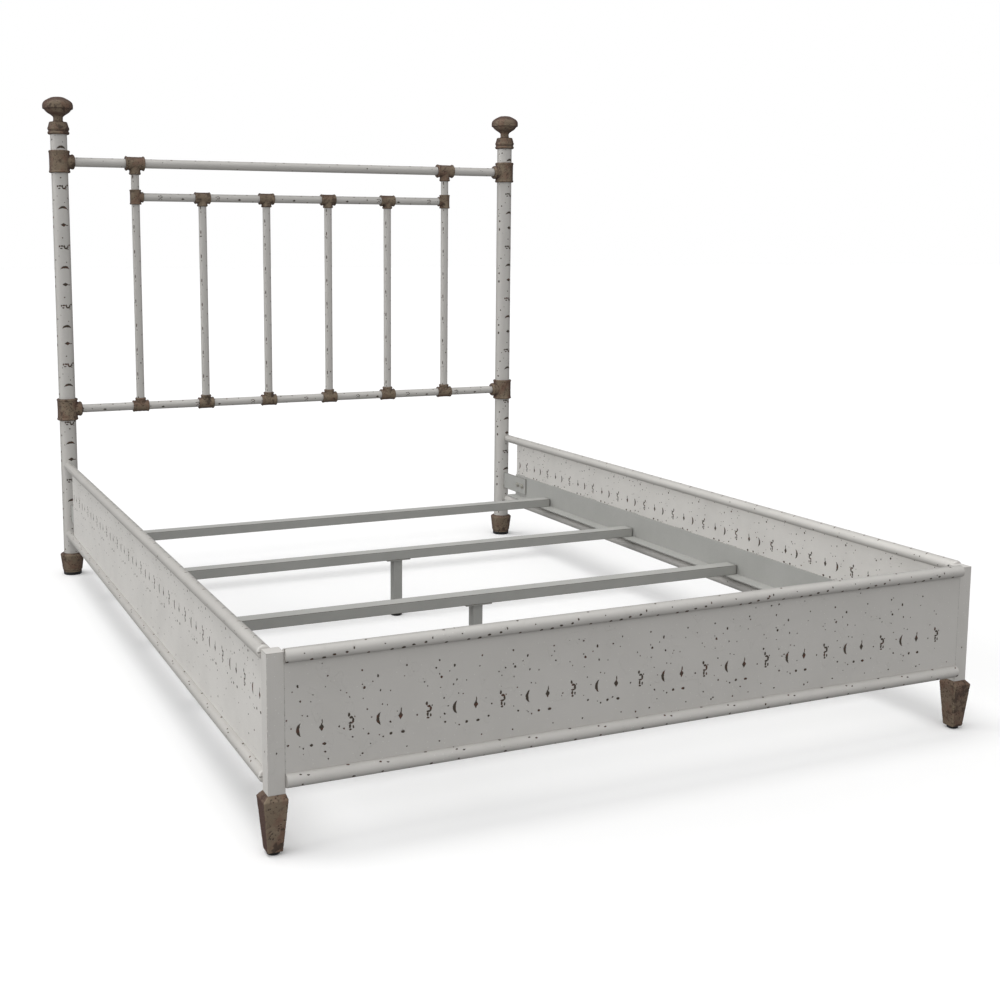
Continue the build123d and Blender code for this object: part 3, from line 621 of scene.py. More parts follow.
class BED_OT_paint_headboard(Operator):
    """Aged paint on the headboard's posts, rails, uprights and spindles"""
    bl_idname = "bed.paint_headboard"
    bl_label = "Paint headboard"

    def execute(self, context):
        shared_groups()
        settings = context.scene.bed_paint
        for side in SIDES:
            self.standing("headboard_post_" + side, settings, "Panel chips", POST_ROW_Z,
                          POST_ROW_ACROSS[side], POST_ROW_SCALE, 0.35)
            self.standing("inner_upright_" + side, settings, "Spindle chips", 1.26, 0.0, 1.0, 0.7)
        for number in range(1, 5):
            start = 1.13 + 0.037 * number
            self.standing(f"spindle_{number}", settings, "Spindle chips", start, 0.0, 1.0, 0.7)
        self.lying("top_rail", settings, "Top rail chips", 0.03)
        self.lying("second_rail", settings, "Rail chips", -0.4636)
        self.lying("lower_rail", settings, "Rail chips", 0.02)
        return {"FINISHED"}

    def standing(self, node, settings, row, top, across, scale, strewn):
        """An upright tube, its chips running down from a height."""
        start = middle(node).z - top
        paint_node(node, painted(node, settings, middle(node), -UP, RIGHT, -BACK, size(node).x / 2, row,
                                 start, across, scale, strewn))

    def lying(self, node, settings, row, start):
        """A rail across the bed."""
        paint_node(node, painted(node, settings, middle(node), RIGHT, UP, -BACK, size(node).z / 2, row,
                                 start, strewn=0.3))


class BED_OT_paint_surround(Operator):
    """Aged paint on the panels, their tube beads and the square foot posts"""
    bl_idname = "bed.paint_surround"
    bl_label = "Paint surround"

    def execute(self, context):
        shared_groups()
        settings = context.scene.bed_paint
        bead = size("foot_top_bead").z / 2
        row_z = FOOT_ROW_Z - middle("foot_panel").z
        paint_node("foot_panel", painted("foot_panel", settings, middle("foot_panel"), RIGHT, UP, -BACK,
                                         None, "Panel chips", FOOT_ROW_START, row_z, strewn=0.22,
                                         stop=FOOT_ROW_STOP))
        for node, row in (("foot_top_bead", "Bead chips"), ("foot_bottom_bead", "Low bead chips")):
            paint_node(node, painted(node, settings, middle(node), RIGHT, UP, -BACK, bead, row,
                                     FOOT_ROW_START, strewn=0.2))
        for side, out in zip(SIDES, (-1, 1)):
            self.side(side, out, settings, bead)
            node = "foot_post_" + side
            paint_node(node, painted(node, settings, middle(node), -UP, RIGHT + BACK, -BACK, None, None,
                                     strewn=0.25, edge_half=size(node) / 2))
        return {"FINISHED"}

    def side(self, side, out, settings, bead):
        """One side of the surround, its chips running the same way as seen from outside."""
        along, facing = out * BACK, out * RIGHT
        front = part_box("side_panel_" + side)[0].y
        panel = middle("side_panel_" + side)
        start = (front + SIDE_ROW_START - panel.y) * out
        # Painted light: the side panel and its beads take the paler side coat, which stands in for the light
        # falling on this side.
        paint_node("side_panel_" + side, painted("side_panel_" + side, settings, panel, along, UP, facing,
                                                 None, "Panel chips", start, SIDE_ROW_Z - panel.z,
                                                 strewn=0.3, paint=settings.side_lit_paint))
        for end, row in (("top", "Side bead chips"), ("bottom", "Low bead chips")):
            node = f"side_{end}_bead_{side}"
            centre = Vector((middle("side_top_bead_" + side).x, panel.y, middle(node).z))
            paint_node(node, painted(node, settings, centre, along, UP, facing, bead, row, start,
                                     strewn=0.2, paint=settings.side_lit_paint))


# ------------------------------------------------------------------ deck steel
class BED_OT_deck(Operator):
    """Powder coat with scuffs on the cross bars, ledges, brackets and centre legs"""
    bl_idname = "bed.deck"
    bl_label = "Deck steel"

    def execute(self, context):
        shared_groups()
        settings = context.scene.bed_fixings
        nodes = [f"cross_bar_{n}" for n in range(1, 5)] + [f"centre_leg_{n}" for n in (1, 2)]
        nodes += [f"{part}_{side}" for part in ("side_ledge", "head_bracket", "foot_bracket")
                  for side in SIDES]
        for node in nodes:
            paint_node(node, self.powder(node, settings))
        return {"FINISHED"}

    def powder(self, node, settings):
        """Powder coat, rubbed through along a piece's edges and scuffed in streaks."""
        material, graph, shader, point = new_material("Powder coat " + node)
        rim = use_group(graph, "Square edge", {"Point": point, "Centre": middle(node),
                                               "Half": size(node) / 2, "Width": 0.0024})
        orange = graph.noise(point, 700.0, detail=1.0)
        slow = graph.noise(point, 9.0, detail=4.0, roughness=0.6)
        scuffs = graph.noise(graph.vector("MULTIPLY", point, (12.0, 160.0, 160.0)), 1.0, detail=5.0,
                             roughness=0.65)
        scuff = graph.ramp(scuffs, 0.66, 0.74)
        coat = graph.mix(graph.ramp(slow, 0.3, 0.7, 0.0, 0.35), opaque(settings.steel), (0.34, 0.34, 0.32, 1))
        coat = graph.mix(graph.math("MULTIPLY", scuff, 0.3), coat, (0.25, 0.25, 0.24, 1.0))
        bare = graph.math("MULTIPLY", rim["Edge"], 0.8)
        graph.put(shader.inputs["Base Color"], graph.mix(bare, coat, (0.2, 0.185, 0.165, 1.0)))
        graph.put(shader.inputs["Metallic"], graph.math("MULTIPLY", rim["Edge"], 0.6))
        graph.put(shader.inputs["Roughness"], graph.ramp(scuffs, 0.35, 0.75, 0.46, 0.66))
        bump = graph.add("ShaderNodeBump", {"Height": orange, "Distance": 0.00012})
        graph.put(shader.inputs["Normal"], bump.outputs[0])
        return material


# ------------------------------------------------------------------ new pieces
def add_piece(name, mesh):
    """An object in the scene for a mesh."""
    piece = bpy.data.objects.new(name, mesh)
    bpy.context.scene.collection.objects.link(piece)
    return piece


def give_tree(piece, tree, values):
    """Adds a Geometry Nodes modifier with its inputs set by identifier."""
    modifier = piece.modifiers.new(tree.name, "NODES")
    modifier.node_group = tree
    for item in tree.interface.items_tree:
        if item.in_out == "INPUT" and item.name in values:
            modifier[item.identifier] = values[item.name]


def settle(piece):
    """Turns what a piece's modifiers make into its plain mesh."""
    depsgraph = bpy.context.evaluated_depsgraph_get()
    made = bpy.data.meshes.new_from_object(piece.evaluated_get(depsgraph), preserve_all_data_layers=True,
                                           depsgraph=depsgraph)
    piece.modifiers.clear()
    piece.data = made


def merged_copy(node):
    """A copy of a node's mesh with its loose triangles joined up."""
    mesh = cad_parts[node].data.copy()
    bm = bmesh.new()
    bm.from_mesh(mesh)
    bmesh.ops.remove_doubles(bm, verts=bm.verts, dist=1e-6)
    bm.to_mesh(mesh)
    bm.free()
    mesh.materials.clear()
    return mesh


def turned_mesh(name, profile, steps, flutes=0, flute_depth=0.0):
    """A profile of (radius, height, fluted) turned round Z. It starts and ends on the axis."""
    bm = bmesh.new()
    rings = []
    for radius, height, fluted in profile:
        if radius == 0:
            rings.append([bm.verts.new((0, 0, height))])
            continue
        ring = []
        for step in range(steps):
            turn = tau * step / steps
            dent = flute_depth * abs(sin(flutes * turn / 2)) if fluted else 0.0
            reach = radius - dent
            ring.append(bm.verts.new((reach * cos(turn), reach * sin(turn), height)))
        rings.append(ring)
    for low, high in zip(rings, rings[1:]):
        for step in range(steps):
            after = (step + 1) % steps
            corners = [low[step % len(low)], low[after % len(low)], high[after % len(high)],
                       high[step % len(high)]]
            bm.faces.new(list(dict.fromkeys(corners)))
    bmesh.ops.recalc_face_normals(bm, faces=bm.faces)
    mesh = bpy.data.meshes.new(name)
    bm.to_mesh(mesh)
    bm.free()
    return mesh


# ------------------------------------------------------------------ castings
def end_tree(graph, out, made, material):
    """Ends a Geometry Nodes tree: instances made real, and the material set."""
    whole = graph.add("GeometryNodeRealizeInstances", {0: made})
    dressed = graph.add("GeometryNodeSetMaterial", {"Geometry": whole.outputs[0], "Material": material})
    graph.put(out["Geometry"], dressed.outputs[0])
    return graph.tree


def cast_skin_tree():
    """Uneven sand-cast face: a slow swell, small pits and a ridge at the mould's parting plane."""
    graph, given, out = new_group("Cast skin", "GeometryNodeTree", [
        ("Geometry", "geometry"), ("Swell", "number", 0.0005), ("Pit", "number", 0.0003),
        ("Ridge", "number", 0.0003), ("Vein", "number", 0.0003), ("Parting", "number", 0.0),
        ("Material", "material")],
        [("Geometry", "geometry")])
    place = graph.add("GeometryNodeInputPosition").outputs[0]
    normal = graph.add("GeometryNodeInputNormal").outputs[0]
    slow = graph.noise(place, 75.0, detail=3.0, roughness=0.6)
    swell = graph.math("MULTIPLY", graph.math("MULTIPLY_ADD", slow, 2.0, -1.0), given["Swell"])
    cells = graph.add("ShaderNodeTexVoronoi", {"Vector": place, "Scale": 210.0})
    there = graph.math("LESS_THAN", graph.split(cells.outputs["Color"])[0], 0.55)
    pit = graph.math("MULTIPLY", graph.ramp(cells.outputs["Distance"], 0.45, 0.1), there)
    sunk = graph.math("MULTIPLY", pit, given["Pit"])
    off = graph.math("ABSOLUTE", graph.math("SUBTRACT", graph.split(place)[1], given["Parting"]))
    broken = graph.ramp(graph.noise(place, 45.0), 0.38, 0.5)
    ridge = graph.math("MULTIPLY", graph.ramp(off, 0.0013, 0.0002), broken)
    raised = graph.math("MULTIPLY", ridge, given["Ridge"])
    swirl = graph.noise(place, 48.0, detail=1.5, distortion=1.8)
    vein = graph.ramp(graph.math("ABSOLUTE", graph.math("SUBTRACT", swirl, 0.5)), 0.03, 0.004)
    cut = graph.math("MULTIPLY", vein, given["Vein"])
    height = graph.math("ADD", graph.math("SUBTRACT", swell, sunk), graph.math("SUBTRACT", raised, cut))
    moved = graph.add("GeometryNodeSetPosition", {"Geometry": given["Geometry"],
                                                  "Offset": graph.vector("SCALE", normal, scale=height)})
    relief = graph.math("SUBTRACT", graph.math("ADD", slow, graph.math("MULTIPLY", ridge, 0.3)), pit)
    relief = graph.math("SUBTRACT", relief, graph.math("MULTIPLY", vein, 0.45))
    stored = graph.add("GeometryNodeStoreNamedAttribute", {
        "Geometry": moved.outputs[0], "Name": "relief", "Value": relief}, data_type="FLOAT", domain="POINT")
    return end_tree(graph, out, stored.outputs[0], given["Material"])


def mark_edges(mesh, rounds=4):
    """Stores how sharply each point stands proud (above 0) or lies in a hollow (below 0), as 'edge'."""
    count = len(mesh.vertices)
    points = np.zeros(count * 3, np.float64)
    normals = np.zeros(count * 3, np.float64)
    mesh.vertices.foreach_get("co", points)
    mesh.vertex_normals.foreach_get("vector", normals)
    points, normals = points.reshape(-1, 3), normals.reshape(-1, 3)
    ends = np.zeros(len(mesh.edges) * 2, np.int64)
    mesh.edges.foreach_get("vertices", ends)
    first, second = ends.reshape(-1, 2).T
    near = np.bincount(first, minlength=count) + np.bincount(second, minlength=count)
    near = np.maximum(near, 1)

    def around(values):
        total = np.zeros_like(values)
        np.add.at(total, first, values[second])
        np.add.at(total, second, values[first])
        return total / near.reshape(-1, *[1] * (values.ndim - 1))

    smooth = points
    for _ in range(rounds):
        smooth = (smooth + around(smooth)) / 2
    proud = ((points - smooth) * normals).sum(1) / MM
    for _ in range(2):
        proud = (proud + around(proud)) / 2
    mesh.attributes.new("edge", "FLOAT", "POINT").data.foreach_set("value", proud.astype(np.float32))


def cast_material(settings):
    """Mottled rusty bronze: dark in pits and veins, paler where handling has rubbed it, with painted shade at
    its outline.
    """
    material, graph, shader, point = new_material("Rusty bronze casting")
    relief = graph.add("ShaderNodeAttribute", attribute_name="relief").outputs["Fac"]
    edge = graph.add("ShaderNodeAttribute", attribute_name="edge").outputs["Fac"]
    blotch = graph.noise(point, 42.0, detail=4.0, roughness=0.62)
    grain = graph.noise(point, 520.0, detail=3.0, roughness=0.6)
    rusty = graph.noise(graph.vector("ADD", point, (0.31, 0.17, 0.05)), 30.0, detail=3.0, roughness=0.6)
    murky = graph.noise(graph.vector("ADD", point, (0.12, 0.41, 0.23)), 34.0, detail=4.0, roughness=0.66)
    tone = graph.mix(graph.ramp(rusty, 0.46, 0.66, 0.0, 0.8), opaque(settings.bronze), opaque(settings.rust))
    tone = graph.mix(graph.ramp(blotch, 0.44, 0.72, 0.0, 0.45), tone, opaque(settings.pale))
    tone = graph.mix(graph.ramp(grain, 0.56, 0.74, 0.0, 0.25), tone, opaque(settings.dark))
    tone = graph.mix(graph.ramp(murky, 0.54, 0.64, 0.0, 0.78), tone, opaque(settings.dark))
    hollow = graph.math("MAXIMUM", graph.ramp(relief, 0.3, -0.1), graph.ramp(edge, -0.02, -0.22))
    tone = graph.mix(graph.math("MULTIPLY", hollow, 0.8), tone, opaque(settings.dark))
    rubbed = graph.math("MULTIPLY", graph.ramp(edge, 0.08, 0.34), graph.ramp(grain, 0.4, 0.62))
    tone = graph.mix(graph.math("MULTIPLY", rubbed, 0.35), tone, opaque(settings.pale))
    # Painted shade: the face darkens towards its outline as it turns from view.
    outline = graph.add("ShaderNodeLayerWeight", {"Blend": 0.5}).outputs["Facing"]
    tone = graph.mix(graph.ramp(outline, 0.06, 0.8, 0.0, 0.92), tone, opaque(settings.outline))
    graph.put(shader.inputs["Base Color"], tone)
    graph.put(shader.inputs["Metallic"], graph.math("MULTIPLY", rubbed, 0.2))
    rough = graph.ramp(grain, 0.3, 0.7, 0.62, 0.86)
    graph.put(shader.inputs["Roughness"], graph.math("SUBTRACT", rough, graph.math("MULTIPLY", rubbed, 0.15)))
    shader.inputs["Specular IOR Level"].default_value = 0.32
    bump = graph.add("ShaderNodeBump", {"Height": grain, "Distance": 0.0003})
    graph.put(shader.inputs["Normal"], bump.outputs[0])
    return material


class BED_OT_castings(Operator):
    """Sand-cast finials, collars, tees, ferrules and legs"""
    bl_idname = "bed.castings"
    bl_label = "Castings"

    def execute(self, context):
        settings = context.scene.bed_casting
        material = cast_material(settings)
        tree = cast_skin_tree()
        parting = middle("top_rail").y
        names = ["lower_rail_tees"] + [f"spindle_tee_{n}" for n in range(1, 5)]
        names += [f"{part}_{side}" for part in ("post_finial", "upper_collar", "lower_collar",
                                                "post_ferrule", "top_rail_tee", "upright_tee", "foot_leg")
                  for side in SIDES]
        for node in names:
            piece = add_piece("cast_" + node, merged_copy(node))
            grain = piece.modifiers.new("grain", "REMESH")
            grain.mode = "VOXEL"
            grain.voxel_size = settings.grain
            grain.use_smooth_shade = True
            ridge = 0.0 if "leg" in node else settings.ridge
            give_tree(piece, tree, {"Swell": settings.swell, "Pit": settings.pit, "Ridge": ridge,
                                    "Vein": settings.vein, "Parting": parting, "Material": material})
            settle(piece)
            mark_edges(piece.data)
            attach(piece, "frame")
            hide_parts(node)
        return {"FINISHED"}


# ------------------------------------------------------------------ bolts
def bolt_mesh(settings):
    """Hex bolt and washer, its washer's underside at the origin, its head towards -Z."""
    bm = bmesh.new()
    half, steps = settings.flats / 2, 48
    lift = settings.washer_thick
    top = lift + settings.head
    crown = half * 0.95
    rings = []

    def ring(reach, height):
        rings.append([bm.verts.new((reach(t) * cos(t), reach(t) * sin(t), -height(t)))
                      for t in (tau * step / steps for step in range(steps))])

    def hexagon(t):
        sixth = tau / 6
        return half / cos((t + sixth / 2) % sixth - sixth / 2)

    def rim(t):
        return top - max(0.0, hexagon(t) - crown) * tan(radians(30))

    shank = settings.shank
    ring(lambda t: shank, lambda t: -0.008)
    ring(lambda t: shank, lambda t: 0.0)
    ring(lambda t: settings.washer - 0.0003, lambda t: 0.0)
    ring(lambda t: settings.washer, lambda t: 0.0003)
    ring(lambda t: settings.washer, lambda t: lift - 0.0003)
    ring(lambda t: settings.washer - 0.0003, lambda t: lift)
    ring(hexagon, lambda t: lift)
    ring(hexagon, rim)
    ring(lambda t: crown, lambda t: top)
    for low, high in zip(rings, rings[1:]):
        for step in range(steps):
            after = (step + 1) % steps
            bm.faces.new((low[step], low[after], high[after], high[step]))
    bm.faces.new(rings[0])
    bm.faces.new(list(reversed(rings[-1])))
    bmesh.ops.recalc_face_normals(bm, faces=bm.faces)
    mesh = bpy.data.meshes.new("bolt")
    bm.to_mesh(mesh)
    bm.free()
    return mesh


def bolt_places():
    """Where each bolt's head meets the steel, and how it is turned, sorted so that each run is alike."""
    bm = bmesh.new()
    bm.from_mesh(merged_copy("frame_bolts"))
    left, places = set(bm.verts), []
    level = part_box("cross_bar_1")[0].z
    head = bpy.context.scene.bed_fixings.head
    while left:
        island, edge = set(), [left.pop()]
        while edge:
            vert = edge.pop()
            island.add(vert)
            for link in vert.link_edges:
                other = link.other_vert(vert)
                if other in left:
                    left.discard(other)
                    edge.append(other)
        low = Vector([min(v.co[i] for v in island) for i in range(3)])
        high = Vector([max(v.co[i] for v in island) for i in range(3)])
        centre = (low + high) / 2
        if centre.z < level:
            places.append(((centre.x, centre.y, low.z + head), (0.0, 0.0, 0.0)))
        elif centre.x > 0:
            places.append(((low.x + head, centre.y, centre.z), (0.0, pi / 2, 0.0)))
        else:
            places.append(((high.x - head, centre.y, centre.z), (0.0, -pi / 2, 0.0)))
    bm.free()
    return sorted(places)


def bolt_tree():
    """Sets a bolt at every point of another mesh, turned as its 'turn' attribute says."""
    graph, given, out = new_group("Bolts at points", "GeometryNodeTree", [
        ("Geometry", "geometry"), ("Places", "object"), ("Twist", "number", 0.9), ("Seed", "count", 4),
        ("Material", "material")], [("Geometry", "geometry")])
    places = graph.add("GeometryNodeObjectInfo", {"Object": given["Places"]}).outputs["Geometry"]
    turn = graph.add("GeometryNodeInputNamedAttribute", {"Name": "turn"}, data_type="FLOAT_VECTOR")
    random = graph.add("FunctionNodeRandomValue", data_type="FLOAT")
    values = [s for s in random.inputs if s.enabled]
    graph.put(values[0], 0.0)
    graph.put(values[1], given["Twist"])
    graph.put(random.inputs["Seed"], given["Seed"])
    angle = [s for s in random.outputs if s.enabled][0]
    lying = graph.add("FunctionNodeEulerToRotation", {0: turn.outputs[0]}).outputs[0]
    spun = graph.add("FunctionNodeAxisAngleToRotation", {"Axis": (0.0, 0.0, 1.0), "Angle": angle}).outputs[0]
    rotation = graph.add("FunctionNodeRotateRotation", {0: lying, 1: spun}, rotation_space="LOCAL").outputs[0]
    set_out = graph.add("GeometryNodeInstanceOnPoints", {"Points": places, "Instance": given["Geometry"],
                                                         "Rotation": rotation})
    return end_tree(graph, out, set_out.outputs[0], given["Material"])


def zinc_material(settings):
    """Zinc plate with faint spangle, dulled and a little stained."""
    material, graph, shader, point = new_material("Zinc plate")
    spangle = graph.add("ShaderNodeTexVoronoi", {"Vector": point, "Scale": 900.0}).outputs["Color"]
    tint = graph.mix(0.08, opaque(settings.zinc), spangle)
    stain = graph.ramp(graph.noise(point, 260.0, detail=4.0, roughness=0.7), 0.5, 0.68, 0.0, 0.6)
    graph.put(shader.inputs["Base Color"], graph.mix(stain, tint, (0.24, 0.20, 0.16, 1.0)))
    shader.inputs["Metallic"].default_value = 0.9
    graph.put(shader.inputs["Roughness"], graph.ramp(stain, 0.0, 0.6, 0.34, 0.6))
    bump = graph.add("ShaderNodeBump", {"Height": graph.noise(point, 1500.0), "Distance": 0.00005})
    graph.put(shader.inputs["Normal"], bump.outputs[0])
    return material


class BED_OT_bolts(Operator):
    """Hex bolts with washers at the brackets and under the ledges"""
    bl_idname = "bed.bolts"
    bl_label = "Bolts"

    def execute(self, context):
        settings = context.scene.bed_fixings
        places = bolt_places()
        if len(places) != BOLT_COUNT:
            raise RuntimeError(f"{len(places)} bolts found, {BOLT_COUNT} expected")
        spots = bpy.data.meshes.new("bolt_spots")
        spots.from_pydata([place for place, _ in places], [], [])
        turns = spots.attributes.new("turn", "FLOAT_VECTOR", "POINT")
        turns.data.foreach_set("vector", [number for _, turn in places for number in turn])
        marker = add_piece("bolt_spots", spots)
        piece = add_piece("bolts", bolt_mesh(settings))
        give_tree(piece, bolt_tree(), {"Places": marker, "Material": zinc_material(settings)})
        settle(piece)
        bpy.data.objects.remove(marker)
        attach(piece, "frame")
        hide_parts("frame_bolts")
        return {"FINISHED"}


# ------------------------------------------------------------------ glides
def thread_tree():
    """Adds a helical thread round a stem that stands on Z, then sets the whole in its place."""
    graph, given, out = new_group("Stem thread", "GeometryNodeTree", [
        ("Geometry", "geometry"), ("Radius", "number", 0.004), ("Depth", "number", 0.0006),
        ("Pitch", "number", 0.00125), ("Bottom", "number", 0.006), ("Top", "number", 0.04),
        ("Place", "vector"), ("Material", "material")], [("Geometry", "geometry")])
    tall = graph.math("SUBTRACT", given["Top"], given["Bottom"])
    core = graph.math("SUBTRACT", given["Radius"], graph.math("MULTIPLY", given["Depth"], 0.62))
    helix = graph.add("GeometryNodeCurveSpiral", {
        "Resolution": 20, "Rotations": graph.math("DIVIDE", tall, given["Pitch"]), "Start Radius": core,
        "End Radius": core, "Height": tall})
    crest = graph.add("GeometryNodeCurvePrimitiveCircle", {
        "Resolution": 4, "Radius": graph.math("MULTIPLY", given["Depth"], 0.62)}, mode="RADIUS")
    thread = graph.add("GeometryNodeCurveToMesh", {
        "Curve": helix.outputs[0], "Profile Curve": crest.outputs[0], "Fill Caps": True})
    raised = graph.add("GeometryNodeTransform", {
        "Geometry": thread.outputs[0], "Translation": graph.join(0.0, 0.0, given["Bottom"])})
    both = graph.add("GeometryNodeJoinGeometry")
    graph.put(both.inputs[0], given["Geometry"])
    graph.put(both.inputs[0], raised.outputs[0])
    there = graph.add("GeometryNodeTransform", {"Geometry": both.outputs[0], "Translation": given["Place"]})
    return end_tree(graph, out, there.outputs[0], given["Material"])


def glide_material(settings, stem_z):
    """Black nylon, scuffed under the foot, with a zinc stem above a height."""
    material, graph, shader, point = new_material(f"Black glide {round(stem_z / MM)}")
    height = graph.split(point)[2]
    stem = graph.math("GREATER_THAN", height, stem_z)
    scuff = graph.ramp(graph.noise(point, 300.0, detail=5.0, roughness=0.7), 0.5, 0.7)
    low = graph.math("MULTIPLY", scuff, graph.ramp(height, 0.004, 0.0))
    nylon = graph.mix(graph.math("MULTIPLY", low, 0.5), opaque(settings.nylon), (0.09, 0.09, 0.085, 1.0))
    graph.put(shader.inputs["Base Color"], graph.mix(stem, nylon, (0.5, 0.49, 0.46, 1.0)))
    graph.put(shader.inputs["Metallic"], graph.math("MULTIPLY", stem, 0.9))
    graph.put(shader.inputs["Roughness"], graph.ramp(scuff, 0.0, 1.0, 0.4, 0.62))
    bump = graph.add("ShaderNodeBump", {"Height": graph.noise(point, 1200.0, detail=2.0),
                                        "Distance": 0.00008})
    graph.put(shader.inputs["Normal"], bump.outputs[0])
    return material


class BED_OT_glides(Operator):
    """Black nylon glides with threaded stems, each on its own screw joint"""
    bl_idname = "bed.glides"
    bl_label = "Glides"

    def execute(self, context):
        settings = context.scene.bed_glides
        tree = thread_tree()
        stems = {"head": 0.005, "foot": 0.004, "centre": 0.004}
        names = [f"{end}_glide_{side}" for end in ("head", "foot") for side in SIDES]
        names += ["centre_glide_1", "centre_glide_2"]
        seats = {"head": "post_ferrule_left", "foot": "foot_leg_left", "centre": "centre_leg_1"}
        for node in names:
            end = node.split("_")[0]
            pad_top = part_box(seats[end])[0].z
            self.glide(node, settings, tree, stems[end], pad_top)
        return {"FINISHED"}

    def glide(self, node, settings, tree, stem, pad_top):
        """One glide: a fluted pad with a dished face, and its stem."""
        radius, top = size(node).x / 2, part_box(node)[1].z
        core = stem - settings.thread * 1.1
        round_edge = min(pad_top * 0.45, 0.0024)
        profile = [(0, 0.0006, 0), (radius * 0.55, 0.0006, 0), (radius * 0.6, 0.0, 0),
                   (radius - round_edge, 0.0, 0)]
        profile += [(radius - round_edge * (1 - sin(pi / 2 * k / 4)), round_edge * (1 - cos(pi / 2 * k / 4)),
                     k > 2) for k in range(1, 5)]
        profile += [(radius, pad_top - 0.0012, 1), (radius - 0.0004, pad_top - 0.0004, 0),
                    (radius - 0.0012, pad_top, 0), (stem + 0.0025, pad_top, 0), (core, pad_top, 0),
                    (core, top - 0.0006, 0), (core - 0.0006, top, 0), (0, top, 0)]
        mesh = turned_mesh(node, profile, settings.grips * 6, settings.grips, 0.0007)
        for face in mesh.polygons:
            face.use_smooth = abs(face.normal.z) < 0.98
        piece = add_piece("screw_" + node, mesh)
        place = middle(node)
        give_tree(piece, tree, {"Radius": stem, "Depth": settings.thread, "Pitch": settings.pitch,
                                "Bottom": pad_top, "Top": top - 0.002, "Place": (place.x, place.y, 0.0),
                                "Material": glide_material(settings, pad_top + 0.0001)})
        settle(piece)
        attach(piece, node)
        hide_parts(node)


# ------------------------------------------------------------------ welds
def weld_tree():
    """Runs a rippled bead of weld along every edge of a mesh."""
    graph, given, out = new_group("Weld seams", "GeometryNodeTree", [
        ("Geometry", "geometry"), ("Size", "number", 0.002), ("Ripple", "number", 0.003),
        ("Material", "material")], [("Geometry", "geometry")])
    line = graph.add("GeometryNodeMeshToCurve", {"Mesh": given["Geometry"]})
    fine = graph.add("GeometryNodeResampleCurve", {"Curve": line.outputs[0],
                                                   "Length": graph.math("DIVIDE", given["Ripple"], 5.0)},
                     mode="LENGTH")
    along = graph.add("GeometryNodeSplineParameter").outputs["Length"]
    phase = graph.math("MULTIPLY", graph.math("DIVIDE", along, given["Ripple"]), pi)
    coin = graph.math("ABSOLUTE", graph.math("SINE", phase))
    place = graph.add("GeometryNodeInputPosition").outputs[0]
    uneven = graph.math("MULTIPLY_ADD", graph.noise(place, 140.0), 0.5, 0.68)
    radius = graph.math("MULTIPLY", graph.math("MULTIPLY_ADD", coin, 0.22, 0.85), uneven)
    sized = graph.add("GeometryNodeSetCurveRadius", {"Curve": fine.outputs[0],
                                                     "Radius": graph.math("MULTIPLY", radius, given["Size"])})
    ring = graph.add("GeometryNodeCurvePrimitiveCircle", {"Resolution": 10, "Radius": 1.0}, mode="RADIUS")
    bead = graph.add("GeometryNodeCurveToMesh", {"Curve": sized.outputs[0], "Profile Curve": ring.outputs[0],
                                                 "Fill Caps": True})
    if "Scale" in bead.inputs:
        kept = graph.add("GeometryNodeInputRadius").outputs[0]
        graph.put(bead.inputs["Scale"], kept)
    soft = graph.add("GeometryNodeSetShadeSmooth", {0: bead.outputs[0]})
    return end_tree(graph, out, soft.outputs[0], given["Material"])


def weld_lines():
    """Ends of every seam: brackets to posts, ledges to panels, panels to posts, plates to legs."""
    lines = []
    for side, out in zip(SIDES, (-1, 1)):
        low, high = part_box("head_bracket_" + side)
        post = middle("headboard_post_" + side)
        reach = size("headboard_post_" + side).x / 2
        for x in (low.x, high.x):
            y = post.y - sqrt(max(reach ** 2 - (x - post.x) ** 2, 0.0))
            lines.append(((x, y, low.z + 2 * MM), (x, y, high.z - 2 * MM)))
        low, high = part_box("foot_bracket_" + side)
        inner_x = low.x if out > 0 else high.x
        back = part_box("foot_post_" + side)[1].y
        lines.append(((inner_x, back, low.z + 2 * MM), (inner_x, back, high.z - 2 * MM)))
        low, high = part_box("side_ledge_" + side)
        panel_x = high.x if out > 0 else low.x
        stitches = int((high.y - low.y) / STITCH_PITCH)
        for z in (low.z, high.z):
            for stitch in range(stitches + 1):
                y = low.y + 0.04 + stitch * STITCH_PITCH
                if y + STITCH < high.y:
                    lines.append(((panel_x, y, z), (panel_x, y + STITCH, z)))
        panel_low, panel_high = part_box("foot_panel")
        post_low, post_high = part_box("foot_post_" + side)
        inner = post_low.x if out > 0 else post_high.x
        lines.append(((inner, panel_high.y, panel_low.z + 6 * MM),
                      (inner, panel_high.y, panel_high.z - 6 * MM)))
        side_low, side_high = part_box("side_panel_" + side)
        inside = side_low.x if out > 0 else side_high.x
        lines.append(((inside, side_low.y, side_low.z + 6 * MM), (inside, side_low.y, low.z - 4 * MM)))
        lines.append(((inside, side_low.y, high.z + 4 * MM), (inside, side_low.y, side_high.z - 6 * MM)))
    for number in (1, 2):
        low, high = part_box(f"centre_leg_{number}")
        centre = (low + high) / 2
        half, top = 12.7 * MM, high.z - 3 * MM
        corners = [(centre.x + sx * half, centre.y + sy * half, top)
                   for sx, sy in ((-1, -1), (1, -1), (1, 1), (-1, 1))]
        lines += [(corners[i], corners[(i + 1) % 4]) for i in range(4)]
    return lines


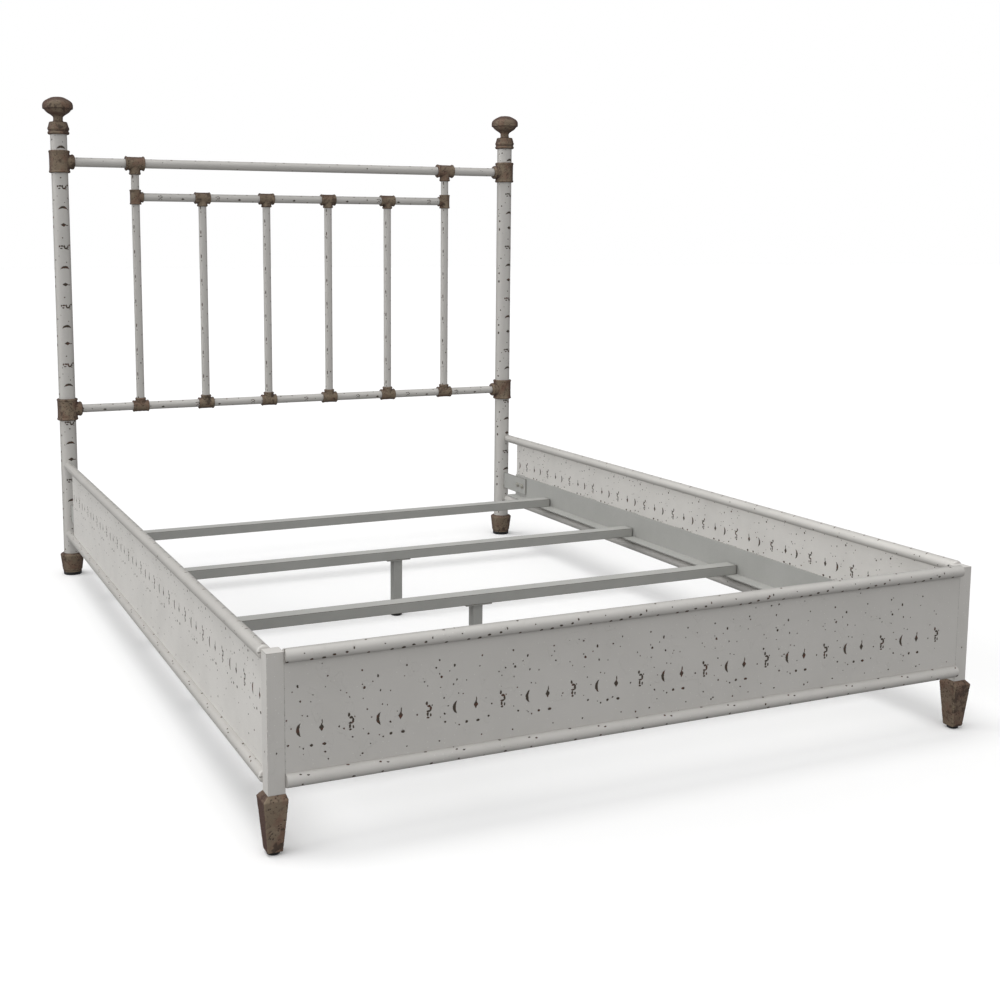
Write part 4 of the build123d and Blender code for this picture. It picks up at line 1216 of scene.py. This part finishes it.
class BED_OT_welds(Operator):
    """Weld seams inside the surround and under the deck"""
    bl_idname = "bed.welds"
    bl_label = "Welds"

    def execute(self, context):
        settings = context.scene.bed_fixings
        lines = weld_lines()
        mesh = bpy.data.meshes.new("weld_lines")
        mesh.from_pydata([end for line in lines for end in line],
                         [(2 * i, 2 * i + 1) for i in range(len(lines))], [])
        material, graph, shader, point = new_material("Painted weld")
        grime_and_shade = graph.ramp(graph.noise(point, 180.0, detail=4.0, roughness=0.7), 0.42, 0.66)
        graph.put(shader.inputs["Base Color"], graph.mix(graph.math("MULTIPLY", grime_and_shade, 0.6),
                                                         opaque(settings.steel), (0.16, 0.12, 0.09, 1.0)))
        graph.put(shader.inputs["Roughness"], graph.ramp(grime_and_shade, 0.0, 1.0, 0.48, 0.75))
        bump = graph.add("ShaderNodeBump", {"Height": graph.noise(point, 900.0, detail=3.0),
                                            "Distance": 0.0002})
        graph.put(shader.inputs["Normal"], bump.outputs[0])
        piece = add_piece("weld_seams", mesh)
        give_tree(piece, weld_tree(), {"Size": settings.weld, "Ripple": settings.ripple,
                                       "Material": material})
        settle(piece)
        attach(piece, "frame")
        return {"FINISHED"}


# ------------------------------------------------------------------ add-on
STEPS = (BED_OT_stage, BED_OT_paint_headboard, BED_OT_paint_surround, BED_OT_deck, BED_OT_castings,
         BED_OT_bolts, BED_OT_glides, BED_OT_welds)
SETTINGS = {"bed_stage": BED_PG_stage, "bed_paint": BED_PG_paint, "bed_casting": BED_PG_casting,
            "bed_fixings": BED_PG_fixings, "bed_glides": BED_PG_glides}


class BED_PT_panel(Panel):
    """The bed frame's finishes and fittings"""
    bl_idname = "BED_PT_panel"
    bl_label = "Bed Frame"
    bl_space_type = "VIEW_3D"
    bl_region_type = "UI"
    bl_category = "Bed Frame"

    def draw(self, context):
        for step in STEPS:
            self.layout.operator(step.bl_idname)
        for name, group in SETTINGS.items():
            box = self.layout.box()
            box.label(text=group.__doc__)
            for field in group.__annotations__:
                box.prop(getattr(context.scene, name), field)


def register():
    """Registers the settings, operators and panel."""
    for name, group in SETTINGS.items():
        bpy.utils.register_class(group)
        setattr(bpy.types.Scene, name, PointerProperty(type=group))
    for made in (*STEPS, BED_PT_panel):
        bpy.utils.register_class(made)


def unregister():
    """Takes the panel, operators and settings away again."""
    for made in reversed((*STEPS, BED_PT_panel)):
        bpy.utils.unregister_class(made)
    for name, group in SETTINGS.items():
        delattr(bpy.types.Scene, name)
        bpy.utils.unregister_class(group)


def main():
    """Builds the whole scene."""
    register()
    for step in STEPS:
        family, name = step.bl_idname.split(".")
        getattr(getattr(bpy.ops, family), name)()


if __name__ == "__main__":
    main()
